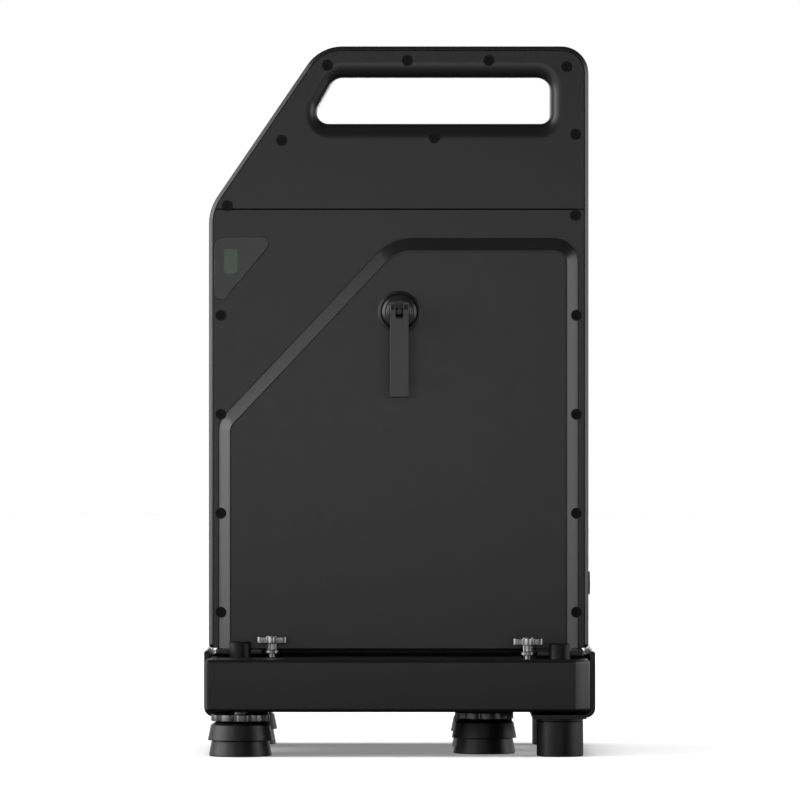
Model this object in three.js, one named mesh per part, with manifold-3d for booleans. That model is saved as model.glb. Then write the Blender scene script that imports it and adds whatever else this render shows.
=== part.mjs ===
// A direct drive bicycle trainer with its four legs folded against the base.
// Millimetres, +Z up. X runs along the bicycle, from its front (-X) to its rear (+X).
// The bicycle's left side, away from the chain, faces -Y. The floor is at z = 0.
import * as THREE from 'three';
import { mergeVertices } from 'three/addons/utils/BufferGeometryUtils.js';
import Module from 'manifold-3d';

const wasm = await Module();
wasm.setup();

// Clearances and cutting overruns shared by all pieces
const seat = 0.3;              // gap between two pieces that touch
const overrun = 20;            // how far a cutting shape runs past what it cuts
const arcSteps = 3;            // chords in a quarter of a small corner
const roundSteps = 24;         // sides of a large turned piece
const smallSteps = 12;         // sides of a small turned piece

// Heights, stacked from the casing's foot: flywheel, belt, drive pulley, handle
const casingBottom = 80.5;
const frameWall = 8;
const flywheelRadius = 88;
const flywheelClearance = 3.5;
const flywheelZ = casingBottom + frameWall + flywheelClearance + flywheelRadius;
const smallPulleyRadius = 15;
const pulleyRadius = 85;
const beltSpan = 60;           // between the rims of the two pulleys
const axleZ = flywheelZ + smallPulleyRadius + beltSpan + pulleyRadius;
const seamRise = 79.7;
const seamZ = axleZ + seamRise;  // the joint between upper and lower cover
const handleRise = 126;
const casingTop = seamZ + handleRise;

// Casing outline, seen from the left side
const casingHalfWidth = 146.3;
const slantTopInset = 84.8;
const slantTopX = slantTopInset - casingHalfWidth;   // where the slanted front corner leaves the top
const slantDrop = 125.7;
const slantFootZ = casingTop - slantDrop;   // where it reaches the front wall
const slantTopRadius = 33;
const slantFootRadius = 38;
const topRearRadius = 18;
const bottomRadius = 3;

// Casing depth, from the bicycle's middle plane
const leftFace = 35.5;         // the left covers' face
const rightFace = 22.5;        // the right covers' face stands back, clear of the chain
const coverThickness = 5.5;
const bossHeight = 7.5;        // the raised panel on the left lower cover
const bossSkin = 3;
const rimWidth = 3;            // the frame's edge that shows around the covers
const rimRound = 2.5;
const coverGap = 0.4;
const webThickness = 6;
const webRight = 1;            // the web's right-hand face

// Raised panel
const bossFrontInset = 6.5;
const bossLeftX = bossFrontInset - casingHalfWidth;
const bossRearInset = 7.9;
const bossRightX = casingHalfWidth - bossRearInset;
const bossTopDrop = 22.5;
const bossTop = seamZ - bossTopDrop;
const bossSlantRun = 134.2;
const bossSlantTopX = bossLeftX + bossSlantRun;
const bossSlantDrop = 141.4;
const bossSlantFootZ = bossTop - bossSlantDrop;
const bossSlantTopRadius = 17;
const bossSlantFootRadius = 20;
const bossTopRadius = 18.5;
const bossBevel = 9.2;

// Carrying handle slot
const slotTopDrop = 24.1;
const slotTop = casingTop - slotTopDrop;
const slotHeight = 35.9;
const slotBottom = slotTop - slotHeight;
const slotRearInset = 29.2;
const slotRight = casingHalfWidth - slotRearInset;
const slotFootReach = 13.3;
const slotLeftFoot = slantTopX - slotFootReach;
const slotTopReach = 13.5;
const slotLeftTop = slantTopX + slotTopReach;
const slotFrontRadius = 10.3;
const slotUpperFrontRadius = 7;
const slotRearRadius = 8;
const slotBorder = 9;          // width of the rounded border in the cover
const slotWall = 7;

// Cover screws, counted from the casing's outline
const screwHeadRadius = 3.6;
const screwDepth = 4;
const upperScrewShares = [
  [-0.38, 0.9686], [0.043, 0.9766], [0.474, 0.9766], [0.885, 0.9665],
  [-0.621, 0.8435], [0.186, 0.848], [0.932, 0.8538], [-0.908, 0.7384],
];
const seamScrewShares = [0.932, 0.7188];
const sideScrewShares = [-0.943, 0.933];
const sideScrewFirstShare = 0.5529;
const sideScrewPitchShare = 0.1638;
const sideScrewCount = 4;

// Status window
const windowEdge = 1;          // strip of cover between window and rim
const windowRearInset = 51.3;
const windowRightX = windowRearInset - casingHalfWidth;
const windowTopDrop = 21.6;
const windowTop = seamZ - windowTopDrop;
const windowHeight = 57.8;
const windowFoot = windowTop - windowHeight;
const windowRadius = 3.5;
const windowThickness = 1.4;
const windowSink = 0.3;
const boardThickness = 1.6;
const boardEdge = 6;           // how far the board stays inside the window's outline

// Axle and what turns on it
const dropoutHalf = 65;        // half the width between the dropouts
const axleRadius = 8.5;
const axleBore = 5;
const axleHalf = 57;
const capFlangeRadius = 13.5;
const capFaceRadius = 10.4;
const capFaceLength = 6;
const capSpigot = 8;
const runningGap = 0.4;
const hubBearingRadius = 17.5;
const hubBearingWidth = 8;
const hubBearingGap = 3;
const freehubRadius = 17.3;
const freehubBore = 13;
const freehubBearingWidth = 24;  // two rows in one cartridge
const freehubEnd = 55.5;
const sprocketTeeth = [28, 25, 23, 21, 19, 17, 15, 14, 13, 12, 11];
const chainPitch = 12.7;
const toothHeight = 2.6;
const sprocketThickness = 1.6;
const sprocketPitch = 3.35;
const cassetteStart = 24.6;
const spacerRise = 3;
const lockringLength = 2.6;
const lockringLip = 19;

// Belt drive and flywheel
const flywheelLeft = -36;
const flywheelRight = -8;
const flywheelRim = 26;
const flywheelWeb = 8;
const flywheelHub = 26;
const pulleyHub = 23;
const pulleyRim = 8;
const pulleyWeb = 4;
const beltLeft = 4;
const beltWidth = 12;
const beltThickness = 2.5;
const shaftRadius = 6;
const shaftBearingRadius = 14;
const shaftBearingWidth = 19;  // two rows in one cartridge
const bearingBossWall = 5;
const axleBossRadius = 22;
const axleBossLeft = -28;
const brakeArc = 1.1;          // radians that the brake block covers
const brakeDepth = 16;
const brakeLeft = -30;
const hubHole = 25;            // hole in the right cover for the freehub

// Quick release
const rodRadius = 2.5;
const clampGap = 8;            // room for a dropout between end cap and clamp face
const barrelRadius = 9;
const barrelLength = 6;
const leverWidth = 14.3;
const leverThickness = 6;
const leverLength = 66;
const forkDepth = 8;
const forkSlot = 6.4;
const camRadius = 7;
const crossPinRadius = 4;
const nutRadius = 9;
const nutLength = 14;

// Base
const bracketHalfLength = 150;
const bracketThickness = 4;
const bracketTop = 79.6;
const plateBottom = 28;
const plateThickness = 3.5;
const plateLength = 49;
const plateInnerX = bracketHalfLength - plateLength;
const plateCorner = 8;
const bracketBend = 5;
const strapBottom = 76.4;
const strapHalfWidth = 18.25;
const strapCorner = 12;
const strapOverhang = 7;       // how far the strap runs past the pivot
const spineWall = 3;

// Legs
const pivotInset = 27.2;
const pivotX = bracketHalfLength - pivotInset;
const legSize = 40;
const boltHeadRadius = 8.5;
const boltClearance = 4.7;     // from a bolt head to the raised panel
const innerLegY = leftFace + bossHeight + boltClearance + boltHeadRadius;
const legGap = 2.8;
const outerLegY = innerLegY + legSize + legGap;
const rearBracketOverhang = 20;
const rearBracketHalfWidth = outerLegY + rearBracketOverhang;
const wallSetback = 5;         // the rear wall stops inside the pivots, so that the heels show
const rearWallHalfWidth = outerLegY - wallSetback;
const frontBracketOverhang = 19.5;
const frontBracketHalfWidth = innerLegY + frontBracketOverhang;
const spineGap = 3.2;          // from the spine to the inner legs
const spineHalfWidth = innerLegY - legSize / 2 - spineGap;
const legBottom = 34.2;
const legWall = 2.5;
const legHeel = 22;            // from the pivot to the round end
const legHeelRadius = 17.5;
const legHeelSolid = 15;
const outerTipInset = 1.8;
const outerLegReach = pivotX + bracketHalfLength - outerTipInset;  // from the pivot to the free end
const innerTipInset = 9;
const innerLegReach = pivotX + plateInnerX - innerTipInset;
const footInset = 26.7;        // from a leg's free end to its levelling foot
const outerFootReach = outerLegReach - footInset;
const innerFootReach = innerLegReach - footInset;
const tipThickness = 3;
const tipPlug = 8;
const tipBevel = 2;
const boltHeadHeight = 5.6;
const boltRadius = 5;
const collarHeight = 1.7;

// Lock knobs
const knobReach = 24.6;        // from the pivot to the lock pin
const knobRadius = 12.5;
const knobHeight = 5;
const knobLift = 10.7;         // underside of the head above the leg
const knobLobes = 6;
const lobeSteps = 4;
const lobeDepth = 2;
const stemRadius = 3.5;
const knobCollarRadius = 5.5;
const knobCollarHeight = 2.9;
const lockPinRadius = 2.5;

// Posts and levelling feet
const postRadius = 17.2;
const postBoltDepth = 14;
const footGap = 0.4;           // the levelling feet hang just clear of the floor
const footBaseRadius = 23.7;
const footStepRadius = 22;
const footStepZ = 12.2;
const footUpperRadius = 24.95;
const footTopRadius = 20.5;
const footShoulderRadius = 22.5;
const footShoulderZ = 26;
const footTop = 28;
const ringRadius = 22.4;
const ringTop = 33.3;
const ringLobes = 10;
const ringLobeDepth = 1.2;
const studRadius = 5;
const studTop = 60;

// Power socket in the rear wall
const socketRise = 49.5;
const socketZ = casingBottom + socketRise;
const socketRadius = 7;
const socketLength = 16;
const socketBore = 3.2;
const socketBoreDepth = 9;
const socketPinRadius = 1;
const socketFlange = 9;
const socketFlangeThickness = 1.5;

// Circuit boards
const controlBoardLength = 70;
const controlBoardWidth = 40;
const controlBoardInset = 48.3;
const controlBoardX = controlBoardInset - casingHalfWidth;
const controlBoardDrop = 25;
const controlBoardZ = axleZ - controlBoardDrop;

const paint = (color, roughness, metalness) => (
  new THREE.MeshStandardMaterial({ color, roughness, metalness })
);
const shellBlack = paint('#333333', 0.55, 0);
const rimBlack = paint('#3a3a3a', 0.5, 0);
const steelBlack = paint('#282828', 0.5, 0.3);
const rubberBlack = paint('#1c1c1c', 0.85, 0);
const plasticBlack = paint('#222222', 0.6, 0);
const brightMetal = paint('#8a8a8a', 0.35, 0.9);
const leverGrey = paint('#444444', 0.45, 0.4);
const smoked = paint('#404040', 0.3, 0);
const boardGreen = paint('#2f5b45', 0.6, 0);
const castGrey = paint('#6b6b6b', 0.5, 0.8);
const beltRubber = paint('#181818', 0.8, 0);

// Turns a three.js geometry into a solid that can be joined and cut.
function solid(geometry) {
  geometry.deleteAttribute('normal');
  geometry.deleteAttribute('uv');
  const merged = mergeVertices(geometry);
  const corners = merged.index.array;
  const faces = [];
  for (let i = 0; i < corners.length; i += 3) {
    const [a, b, c] = corners.slice(i, i + 3);
    if (a !== b && b !== c && c !== a) faces.push(a, b, c);
  }
  return new wasm.Manifold(new wasm.Mesh({
    numProp: 3,
    vertProperties: merged.attributes.position.array,
    triVerts: new Uint32Array(faces),
  }));
}

// A closed outline from corners given anticlockwise as [x, y, radius].
function outline(corners) {
  const shape = new THREE.Shape();
  corners.forEach(([x, y, radius], i) => {
    const before = corners.at(i - 1);
    const after = corners[(i + 1) % corners.length];
    const corner = new THREE.Vector2(x, y);
    const back = new THREE.Vector2(before[0] - x, before[1] - y).normalize();
    const ahead = new THREE.Vector2(after[0] - x, after[1] - y).normalize();
    if (radius === 0) {
      if (i === 0) shape.moveTo(x, y);
      else shape.lineTo(x, y);
      return;
    }
    const half = Math.acos(back.dot(ahead)) / 2;
    const centre = back.clone().add(ahead).normalize().multiplyScalar(radius / Math.sin(half)).add(corner);
    const start = back.clone().multiplyScalar(radius / Math.tan(half)).add(corner).sub(centre);
    const end = ahead.clone().multiplyScalar(radius / Math.tan(half)).add(corner).sub(centre);
    const clockwise = back.cross(ahead) > 0;
    shape.absarc(centre.x, centre.y, radius, start.angle(), end.angle(), clockwise);
  });
  return shape;
}

// The same corners moved inwards by a distance, their radii with them.
function inset(corners, distance) {
  return corners.map(([x, y, radius], i) => {
    const before = corners.at(i - 1);
    const after = corners[(i + 1) % corners.length];
    const arriving = new THREE.Vector2(x - before[0], y - before[1]).normalize();
    const leaving = new THREE.Vector2(after[0] - x, after[1] - y).normalize();
    const normals = new THREE.Vector2(-arriving.y - leaving.y, arriving.x + leaving.x);
    const shift = distance / (1 + arriving.dot(leaving));
    return [x + normals.x * shift, y + normals.y * shift, Math.max(radius - distance, 0)];
  });
}

function extrusion(shape, length, bevelWidth, bevelDepth, bevelSteps, chords) {
  const geometry = new THREE.ExtrudeGeometry(shape, {
    depth: length - 2 * bevelDepth,
    curveSegments: chords,
    bevelEnabled: bevelDepth > 0,
    bevelThickness: bevelDepth,
    bevelSize: bevelWidth,
    bevelOffset: -bevelWidth,
    bevelSegments: bevelSteps,
  });
  geometry.translate(0, 0, bevelDepth);
  return geometry;
}

// A prism of an outline in x and z, between two places along Y.
function across(shape, y0, y1, bevelWidth = 0, bevelDepth = 0, bevelSteps = 1, chords = arcSteps) {
  const geometry = extrusion(shape, y1 - y0, bevelWidth, bevelDepth, bevelSteps, chords);
  geometry.rotateX(Math.PI / 2);
  geometry.translate(0, y1, 0);
  return solid(geometry);
}

// The same between two distances from the middle plane, on one side of it.
function panel(side, shape, near, far, ...bevel) {
  return side > 0 ? across(shape, near, far, ...bevel) : across(shape, -far, -near, ...bevel);
}

// A prism of an outline in x and y, between two heights.
function slab(shape, low, high, bevelWidth = 0, bevelDepth = 0, bevelSteps = 1, chords = arcSteps) {
  const geometry = extrusion(shape, high - low, bevelWidth, bevelDepth, bevelSteps, chords);
  geometry.translate(0, 0, low);
  return solid(geometry);
}

function block(x0, x1, y0, y1, z0, z1) {
  const geometry = new THREE.BoxGeometry(x1 - x0, y1 - y0, z1 - z0);
  geometry.translate((x0 + x1) / 2, (y0 + y1) / 2, (z0 + z1) / 2);
  return solid(geometry);
}

// A solid of revolution about the Y axis at x, z. Points are [radius, y], going up outside.
function turnedY(points, z, steps = roundSteps, x = 0) {
  const geometry = new THREE.LatheGeometry(points.map(([r, y]) => new THREE.Vector2(r, y)), steps);
  geometry.translate(x, 0, z);
  return solid(geometry);
}

// The same about a vertical axis. Points are [radius, z].
function turnedZ(points, x, y, steps = smallSteps) {
  const geometry = new THREE.LatheGeometry(points.map(([r, z]) => new THREE.Vector2(r, z)), steps);
  geometry.rotateX(Math.PI / 2);
  geometry.translate(x, y, 0);
  return solid(geometry);
}

// The same about the X axis. Points are [radius, x].
function turnedX(points, y, z, steps = smallSteps) {
  const geometry = new THREE.LatheGeometry(points.map(([r, x]) => new THREE.Vector2(r, x)), steps);
  geometry.rotateZ(-Math.PI / 2);
  geometry.translate(0, y, z);
  return solid(geometry);
}

const rod = (radius, from, to) => [[0, from], [radius, from], [radius, to], [0, to]];
const tube = (bore, radius, from, to) => [
  [bore, from], [radius, from], [radius, to], [bore, to], [bore, from],
];

const trainer = new THREE.Group();

function add(name, body, material, parent = trainer) {
  const { numProp, vertProperties, triVerts } = body.getMesh();
  const geometry = new THREE.BufferGeometry();
  const positions = [];
  for (let i = 0; i < vertProperties.length; i += numProp) {
    positions.push(vertProperties[i], vertProperties[i + 1], vertProperties[i + 2]);
  }
  geometry.setAttribute('position', new THREE.Float32BufferAttribute(positions, 3));
  geometry.setIndex([...triVerts]);
  const mesh = new THREE.Mesh(geometry, material);
  mesh.name = name;
  parent.add(mesh);
}

// Casing

const casingCorners = (bottom) => [
  [-casingHalfWidth, bottom, bottomRadius],
  [casingHalfWidth, bottom, bottomRadius],
  [casingHalfWidth, casingTop, topRearRadius],
  [slantTopX, casingTop, slantTopRadius],
  [-casingHalfWidth, slantFootZ, slantFootRadius],
];
const bossCorners = [
  [bossLeftX, casingBottom - overrun, 0],
  [bossRightX, casingBottom - overrun, 0],
  [bossRightX, bossTop, bossTopRadius],
  [bossSlantTopX, bossTop, bossSlantTopRadius],
  [bossLeftX, bossSlantFootZ, bossSlantFootRadius],
];
const slotCorners = [
  [slotLeftFoot, slotBottom, slotFrontRadius],
  [slotRight, slotBottom, slotRearRadius],
  [slotRight, slotTop, slotRearRadius],
  [slotLeftTop, slotTop, slotUpperFrontRadius],
];
const bossFace = leftFace + bossHeight;
const webLeft = webRight - webThickness;
const shaftBossLeft = webRight - shaftBearingWidth;
// The covers run down to the bottom edge, so their outline is inset from a lower one.
const seatOutline = outline(inset(casingCorners(casingBottom - rimWidth), rimWidth));
const coverInset = rimWidth + coverGap;
const coverOutline = outline(inset(casingCorners(casingBottom - coverInset), coverInset));
const sides = [['left', -1, leftFace], ['right', 1, rightFace]];
const wide = casingHalfWidth + overrun;

function frameChamber(side, from) {
  const inner = outline(inset(casingCorners(casingBottom), frameWall));
  const slotTube = outline(inset(slotCorners, -slotWall));
  const far = bossFace + overrun;
  return panel(side, inner, from, far).subtract(panel(side, slotTube, from, far));
}

function mainFrame() {
  let frame = across(outline(casingCorners(casingBottom)), -leftFace, rightFace, rimRound, rimRound, 2);
  for (const [, side, face] of sides) {
    frame = frame.subtract(panel(side, seatOutline, face - coverThickness - seat, face + overrun));
    frame = frame.subtract(frameChamber(side, side > 0 ? webRight : -webLeft));
  }
  frame = frame.subtract(across(outline(slotCorners), -wide, wide));
  // Seats for the fixed axle and for the flywheel's bearings
  frame = frame.add(turnedY(rod(axleBossRadius, axleBossLeft, webRight), axleZ));
  frame = frame.add(turnedY(rod(shaftBearingRadius + bearingBossWall, shaftBossLeft, webRight), flywheelZ));
  const axleHole = rod(axleRadius + seat, axleBossLeft - overrun, webRight + overrun);
  frame = frame.subtract(turnedY(axleHole, axleZ));
  const bearingHole = rod(shaftBearingRadius + seat, shaftBossLeft - overrun, webRight + overrun);
  frame = frame.subtract(turnedY(bearingHole, flywheelZ));
  const socketHole = rod(socketRadius + seat, casingHalfWidth - overrun, casingHalfWidth + overrun);
  return frame.subtract(turnedX(socketHole, 0, socketZ));
}

function screwPlaces() {
  const height = casingTop - casingBottom;
  const place = ([along, up]) => [along * casingHalfWidth, casingBottom + up * height];
  const places = [...upperScrewShares, seamScrewShares].map(place);
  for (const along of sideScrewShares) {
    for (let i = 0; i < sideScrewCount; i += 1) {
      places.push(place([along, sideScrewFirstShare - i * sideScrewPitchShare]));
    }
  }
  return places;
}

function cutScrewHeads(cover, side, face) {
  let cut = cover;
  const bottom = face - screwDepth;
  const top = face + overrun;
  const ends = side > 0 ? [bottom, top] : [-top, -bottom];
  for (const [x, z] of screwPlaces()) {
    cut = cut.subtract(turnedY(rod(screwHeadRadius, ...ends), z, arcSteps * 3, x));
  }
  return cut;
}

function upperCover(side, face) {
  const sheet = outline(inset(casingCorners(casingBottom), -slotBorder - overrun));
  sheet.holes.push(outline(slotCorners));
  const back = face - coverThickness;
  const rounded = panel(side, sheet, back - 2 * coverThickness, face, slotBorder, coverThickness, arcSteps);
  const above = panel(side, coverOutline, back, face);
  const keep = block(-wide, wide, -wide, wide, seamZ + coverGap, casingTop);
  return cutScrewHeads(rounded.intersect(above).intersect(keep), side, face);
}

const windowCorners = [
  [-casingHalfWidth + coverInset + windowEdge, windowFoot, windowRadius],
  [windowRightX, windowTop, windowRadius],
  [-casingHalfWidth + coverInset + windowEdge, windowTop, 2 * windowRadius],
];
const windowBack = leftFace - windowSink - windowThickness;

function lowerCover(side, face) {
  const sheet = panel(side, coverOutline, face - coverThickness, face);
  const below = block(-wide, wide, -wide, wide, casingBottom, seamZ - coverGap);
  return cutScrewHeads(sheet.intersect(below), side, face);
}

// The left lower cover has the raised panel, hollow behind, and the window's recess.
function leftLowerCover() {
  const back = leftFace - coverThickness;
  const within = panel(-1, coverOutline, back, bossFace + overrun);
  const raised = panel(-1, outline(bossCorners), back - bossHeight, bossFace, bossBevel, bossHeight);
  const hollowOutline = outline(inset(bossCorners, bossBevel + bossSkin));
  const bottomWall = block(-wide, wide, -wide, wide, casingBottom - wide, casingBottom + frameWall);
  const hollow = panel(-1, hollowOutline, back - overrun, bossFace - bossSkin).subtract(bottomWall);
  const above = block(-wide, wide, -wide, wide, casingBottom, casingTop);
  return lowerCover(-1, leftFace).add(raised.intersect(within).intersect(above)).subtract(hollow)
    .subtract(turnedY(rod(capFlangeRadius + runningGap, -bossFace - overrun, overrun - back), axleZ))
    .subtract(panel(-1, outline(inset(windowCorners, -seat)), windowBack - seat, bossFace));
}

function rightLowerCover() {
  return lowerCover(1, rightFace).subtract(turnedY(rod(hubHole, 0, rightFace + overrun), axleZ));
}

add('main_frame', mainFrame(), rimBlack);
for (const [name, side, face] of sides) add(`${name}_cover_upper`, upperCover(side, face), shellBlack);
add('left_cover_lower', leftLowerCover(), shellBlack);
add('right_cover_lower', rightLowerCover(), shellBlack);
add('status_window', panel(-1, outline(windowCorners), windowBack, windowBack + windowThickness), smoked);
const boardCorners = inset(windowCorners, boardEdge);
const boardFar = leftFace - coverThickness - seat;
add('indicator_board', panel(-1, outline(boardCorners), boardFar - boardThickness, boardFar), boardGreen);
const controlBoard = block(
  controlBoardX - controlBoardWidth / 2, controlBoardX + controlBoardWidth / 2,
  webRight + seat, webRight + seat + boardThickness,
  controlBoardZ - controlBoardLength / 2, controlBoardZ + controlBoardLength / 2,
);
add('control_board', controlBoard, boardGreen);

function powerSocket() {
  const end = casingHalfWidth + seat + socketFlangeThickness;
  const start = end - socketLength;
  const flangeFoot = casingHalfWidth + seat;
  const boreFoot = end - socketBoreDepth;
  return turnedX([
    [0, start], [socketRadius, start], [socketRadius, flangeFoot], [socketFlange, flangeFoot],
    [socketFlange, end], [socketBore, end], [socketBore, boreFoot], [socketPinRadius, boreFoot],
    [socketPinRadius, end - socketPinRadius], [0, end - socketPinRadius],
  ], 0, socketZ);
}
add('power_socket', powerSocket(), plasticBlack);

// Axle, its end caps and what turns on it

add('axle_tube', turnedY(tube(axleBore, axleRadius, -axleHalf, axleHalf), axleZ), brightMetal);

// An end cap is a stepped sleeve on the end of the axle. Its outer face meets the dropout.
function endCap(side, flange) {
  const bore = rodRadius + seat;
  const spigotFoot = axleHalf + seat;
  const points = [
    [bore, spigotFoot], [flange, spigotFoot], [flange, dropoutHalf - capFaceLength],
    [capFaceRadius, dropoutHalf - capFaceLength], [capFaceRadius, dropoutHalf], [bore, dropoutHalf],
    [bore, spigotFoot],
  ];
  return turnedY(side > 0 ? points : points.map(([r, y]) => [r, -y]).reverse(), axleZ);
}
// The left cap reaches back over the axle to the frame.
const sleeve = turnedY(
  tube(axleRadius + seat, capFlangeRadius, -axleHalf - capSpigot / 2, axleBossLeft - seat), axleZ,
);
add('axle_end_cap_left', endCap(-1, capFlangeRadius).add(sleeve), brightMetal);
add('axle_end_cap_right', endCap(1, freehubBore - runningGap), brightMetal);

// A bearing is one ring between a shaft and its seat.
function bearing(shaft, outer, from, width, z) {
  return turnedY(tube(shaft + seat, outer, from, from + width), z);
}
const hubBearings = webRight + hubBearingGap / 2;
const outerHubBearing = hubBearings + hubBearingWidth + hubBearingGap;
for (const [place, from] of [['inner', hubBearings], ['outer', outerHubBearing]]) {
  const ring = bearing(axleRadius, hubBearingRadius, from, hubBearingWidth, axleZ);
  add(`hub_bearing_${place}`, ring, brightMetal);
}

const beltRight = beltLeft + beltWidth;
const pulleyHubEnd = outerHubBearing + hubBearingWidth;
function drivePulley() {
  const bore = hubBearingRadius + seat;
  const webLow = (beltLeft + beltRight - pulleyWeb) / 2;
  const rimInner = pulleyRadius - pulleyRim;
  return turnedY([
    [bore, hubBearings], [pulleyHub, hubBearings], [pulleyHub, webLow], [rimInner, webLow],
    [rimInner, beltLeft], [pulleyRadius, beltLeft], [pulleyRadius, beltRight], [rimInner, beltRight],
    [rimInner, webLow + pulleyWeb], [pulleyHub, webLow + pulleyWeb], [pulleyHub, pulleyHubEnd],
    [bore, pulleyHubEnd], [bore, hubBearings],
  ], axleZ);
}
add('drive_pulley', drivePulley(), castGrey);

const freehubFoot = pulleyHubEnd + runningGap;
add('freehub_body', turnedY(tube(freehubBore, freehubRadius, freehubFoot, freehubEnd), axleZ), castGrey);
const freehubBearing = bearing(axleRadius, freehubBore - seat, freehubFoot, freehubBearingWidth, axleZ);
add('freehub_bearing', freehubBearing, brightMetal);

// Sprockets and the spacers between them, turned in one piece from the largest outwards.
function cassette() {
  const bore = freehubRadius + seat;
  const points = [[bore, cassetteStart]];
  sprocketTeeth.forEach((teeth, i) => {
    const tip = chainPitch / (2 * Math.sin(Math.PI / teeth)) + toothHeight;
    const y = cassetteStart + i * sprocketPitch;
    if (i > 0) points.push([bore + spacerRise, y]);
    points.push([tip, y], [tip, y + sprocketThickness]);
    if (i < sprocketTeeth.length - 1) points.push([bore + spacerRise, y + sprocketThickness]);
    else points.push([bore, y + sprocketThickness]);
  });
  points.push([bore, cassetteStart]);
  return turnedY(points, axleZ);
}
add('cassette', cassette(), brightMetal);
const cassetteEnd = cassetteStart + (sprocketTeeth.length - 1) * sprocketPitch + sprocketThickness;
const lockringFoot = cassetteEnd + seat;
const lockring = tube(capFaceRadius + runningGap, lockringLip, lockringFoot, lockringFoot + lockringLength);
add('lockring', turnedY(lockring, axleZ), castGrey);

// A toothed belt as one loop of two arcs and their outer tangents.
function beltLoop(large, small) {
  const tilt = Math.asin((small - large) / (axleZ - flywheelZ));
  const loop = new THREE.Shape();
  loop.absarc(0, axleZ, large, tilt, Math.PI - tilt, false);
  loop.absarc(0, flywheelZ, small, Math.PI - tilt, 2 * Math.PI + tilt, false);
  return loop;
}
const belt = beltLoop(pulleyRadius + seat + beltThickness, smallPulleyRadius + seat + beltThickness);
belt.holes.push(beltLoop(pulleyRadius + seat, smallPulleyRadius + seat));
add('drive_belt', panel(1, belt, beltLeft, beltRight, 0, 0, 1, roundSteps / 2), beltRubber);

function flywheel() {
  const bore = shaftRadius + seat;
  const rimInner = flywheelRadius - flywheelRim;
  const webTop = flywheelLeft + flywheelWeb;
  const hubTop = shaftBossLeft - runningGap;
  return turnedY([
    [bore, flywheelLeft], [flywheelRadius, flywheelLeft], [flywheelRadius, flywheelRight],
    [rimInner, flywheelRight], [rimInner, webTop], [flywheelHub, webTop], [flywheelHub, hubTop],
    [bore, hubTop], [bore, flywheelLeft],
  ], flywheelZ, roundSteps * 3 / 2);
}
add('flywheel', flywheel(), castGrey);
// The belt's small pulley is turned in one piece with the shaft.
const shaft = turnedY(rod(shaftRadius, flywheelLeft, beltRight), flywheelZ)
  .add(turnedY(rod(smallPulleyRadius, beltLeft, beltRight), flywheelZ));
add('flywheel_shaft', shaft, brightMetal);
const shaftBearing = bearing(shaftRadius, shaftBearingRadius, shaftBossLeft, shaftBearingWidth, flywheelZ);
add('flywheel_bearing', shaftBearing, brightMetal);

// The brake's magnet block stands around the front of the flywheel's rim, against the web.
function brakeBlock() {
  const near = flywheelRadius + 3 * runningGap;
  const arc = new THREE.Shape();
  arc.absarc(0, flywheelZ, near + brakeDepth, Math.PI - brakeArc / 2, Math.PI + brakeArc / 2, false);
  arc.absarc(0, flywheelZ, near, Math.PI + brakeArc / 2, Math.PI - brakeArc / 2, true);
  return across(arc, brakeLeft, webLeft - seat, 0, 0, 1, 2 * arcSteps);
}
add('brake_block', brakeBlock(), castGrey);

// Quick release: rod, clamp barrel and cam lever on the left, nut on the right

const clampFace = dropoutHalf + clampGap;
const barrelEnd = clampFace + barrelLength;
const pivotY = -barrelEnd - camRadius - runningGap;
function releaseRod() {
  const barrel = rod(barrelRadius, -barrelEnd, -clampFace);
  const shaft = rod(rodRadius, pivotY, clampFace + nutLength);
  const pin = rod(crossPinRadius, -forkSlot / 2 + seat, forkSlot / 2 - seat);
  return turnedY(barrel, axleZ).add(turnedY(shaft, axleZ, smallSteps)).add(turnedX(pin, pivotY, axleZ));
}
add('release_rod', releaseRod(), brightMetal);

function releaseLever() {
  const face = pivotY - camRadius;
  const back = face + leverThickness;
  const top = axleZ + camRadius;
  const foot = axleZ - leverLength;
  const blade = block(-leverWidth / 2, leverWidth / 2, face, back, foot, axleZ);
  const cam = turnedX(rod(camRadius, -leverWidth / 2, leverWidth / 2), pivotY, axleZ);
  const fork = block(
    -forkSlot / 2, forkSlot / 2, face - overrun, pivotY + overrun, axleZ - forkDepth, top + overrun,
  );
  return blade.add(cam).subtract(fork);
}
add('release_lever', releaseLever(), leverGrey);
const nut = tube(rodRadius + seat, nutRadius, clampFace, clampFace + nutLength);
add('release_nut', turnedY(nut, axleZ, smallSteps), brightMetal);

// Base

const plateTop = plateBottom + plateThickness;
const wallInner = bracketHalfLength - bracketThickness;
const pivots = [
  ['rear', 1, outerLegY, rearBracketHalfWidth, rearWallHalfWidth],
  ['front', -1, innerLegY, frontBracketHalfWidth, frontBracketHalfWidth],
];

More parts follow.
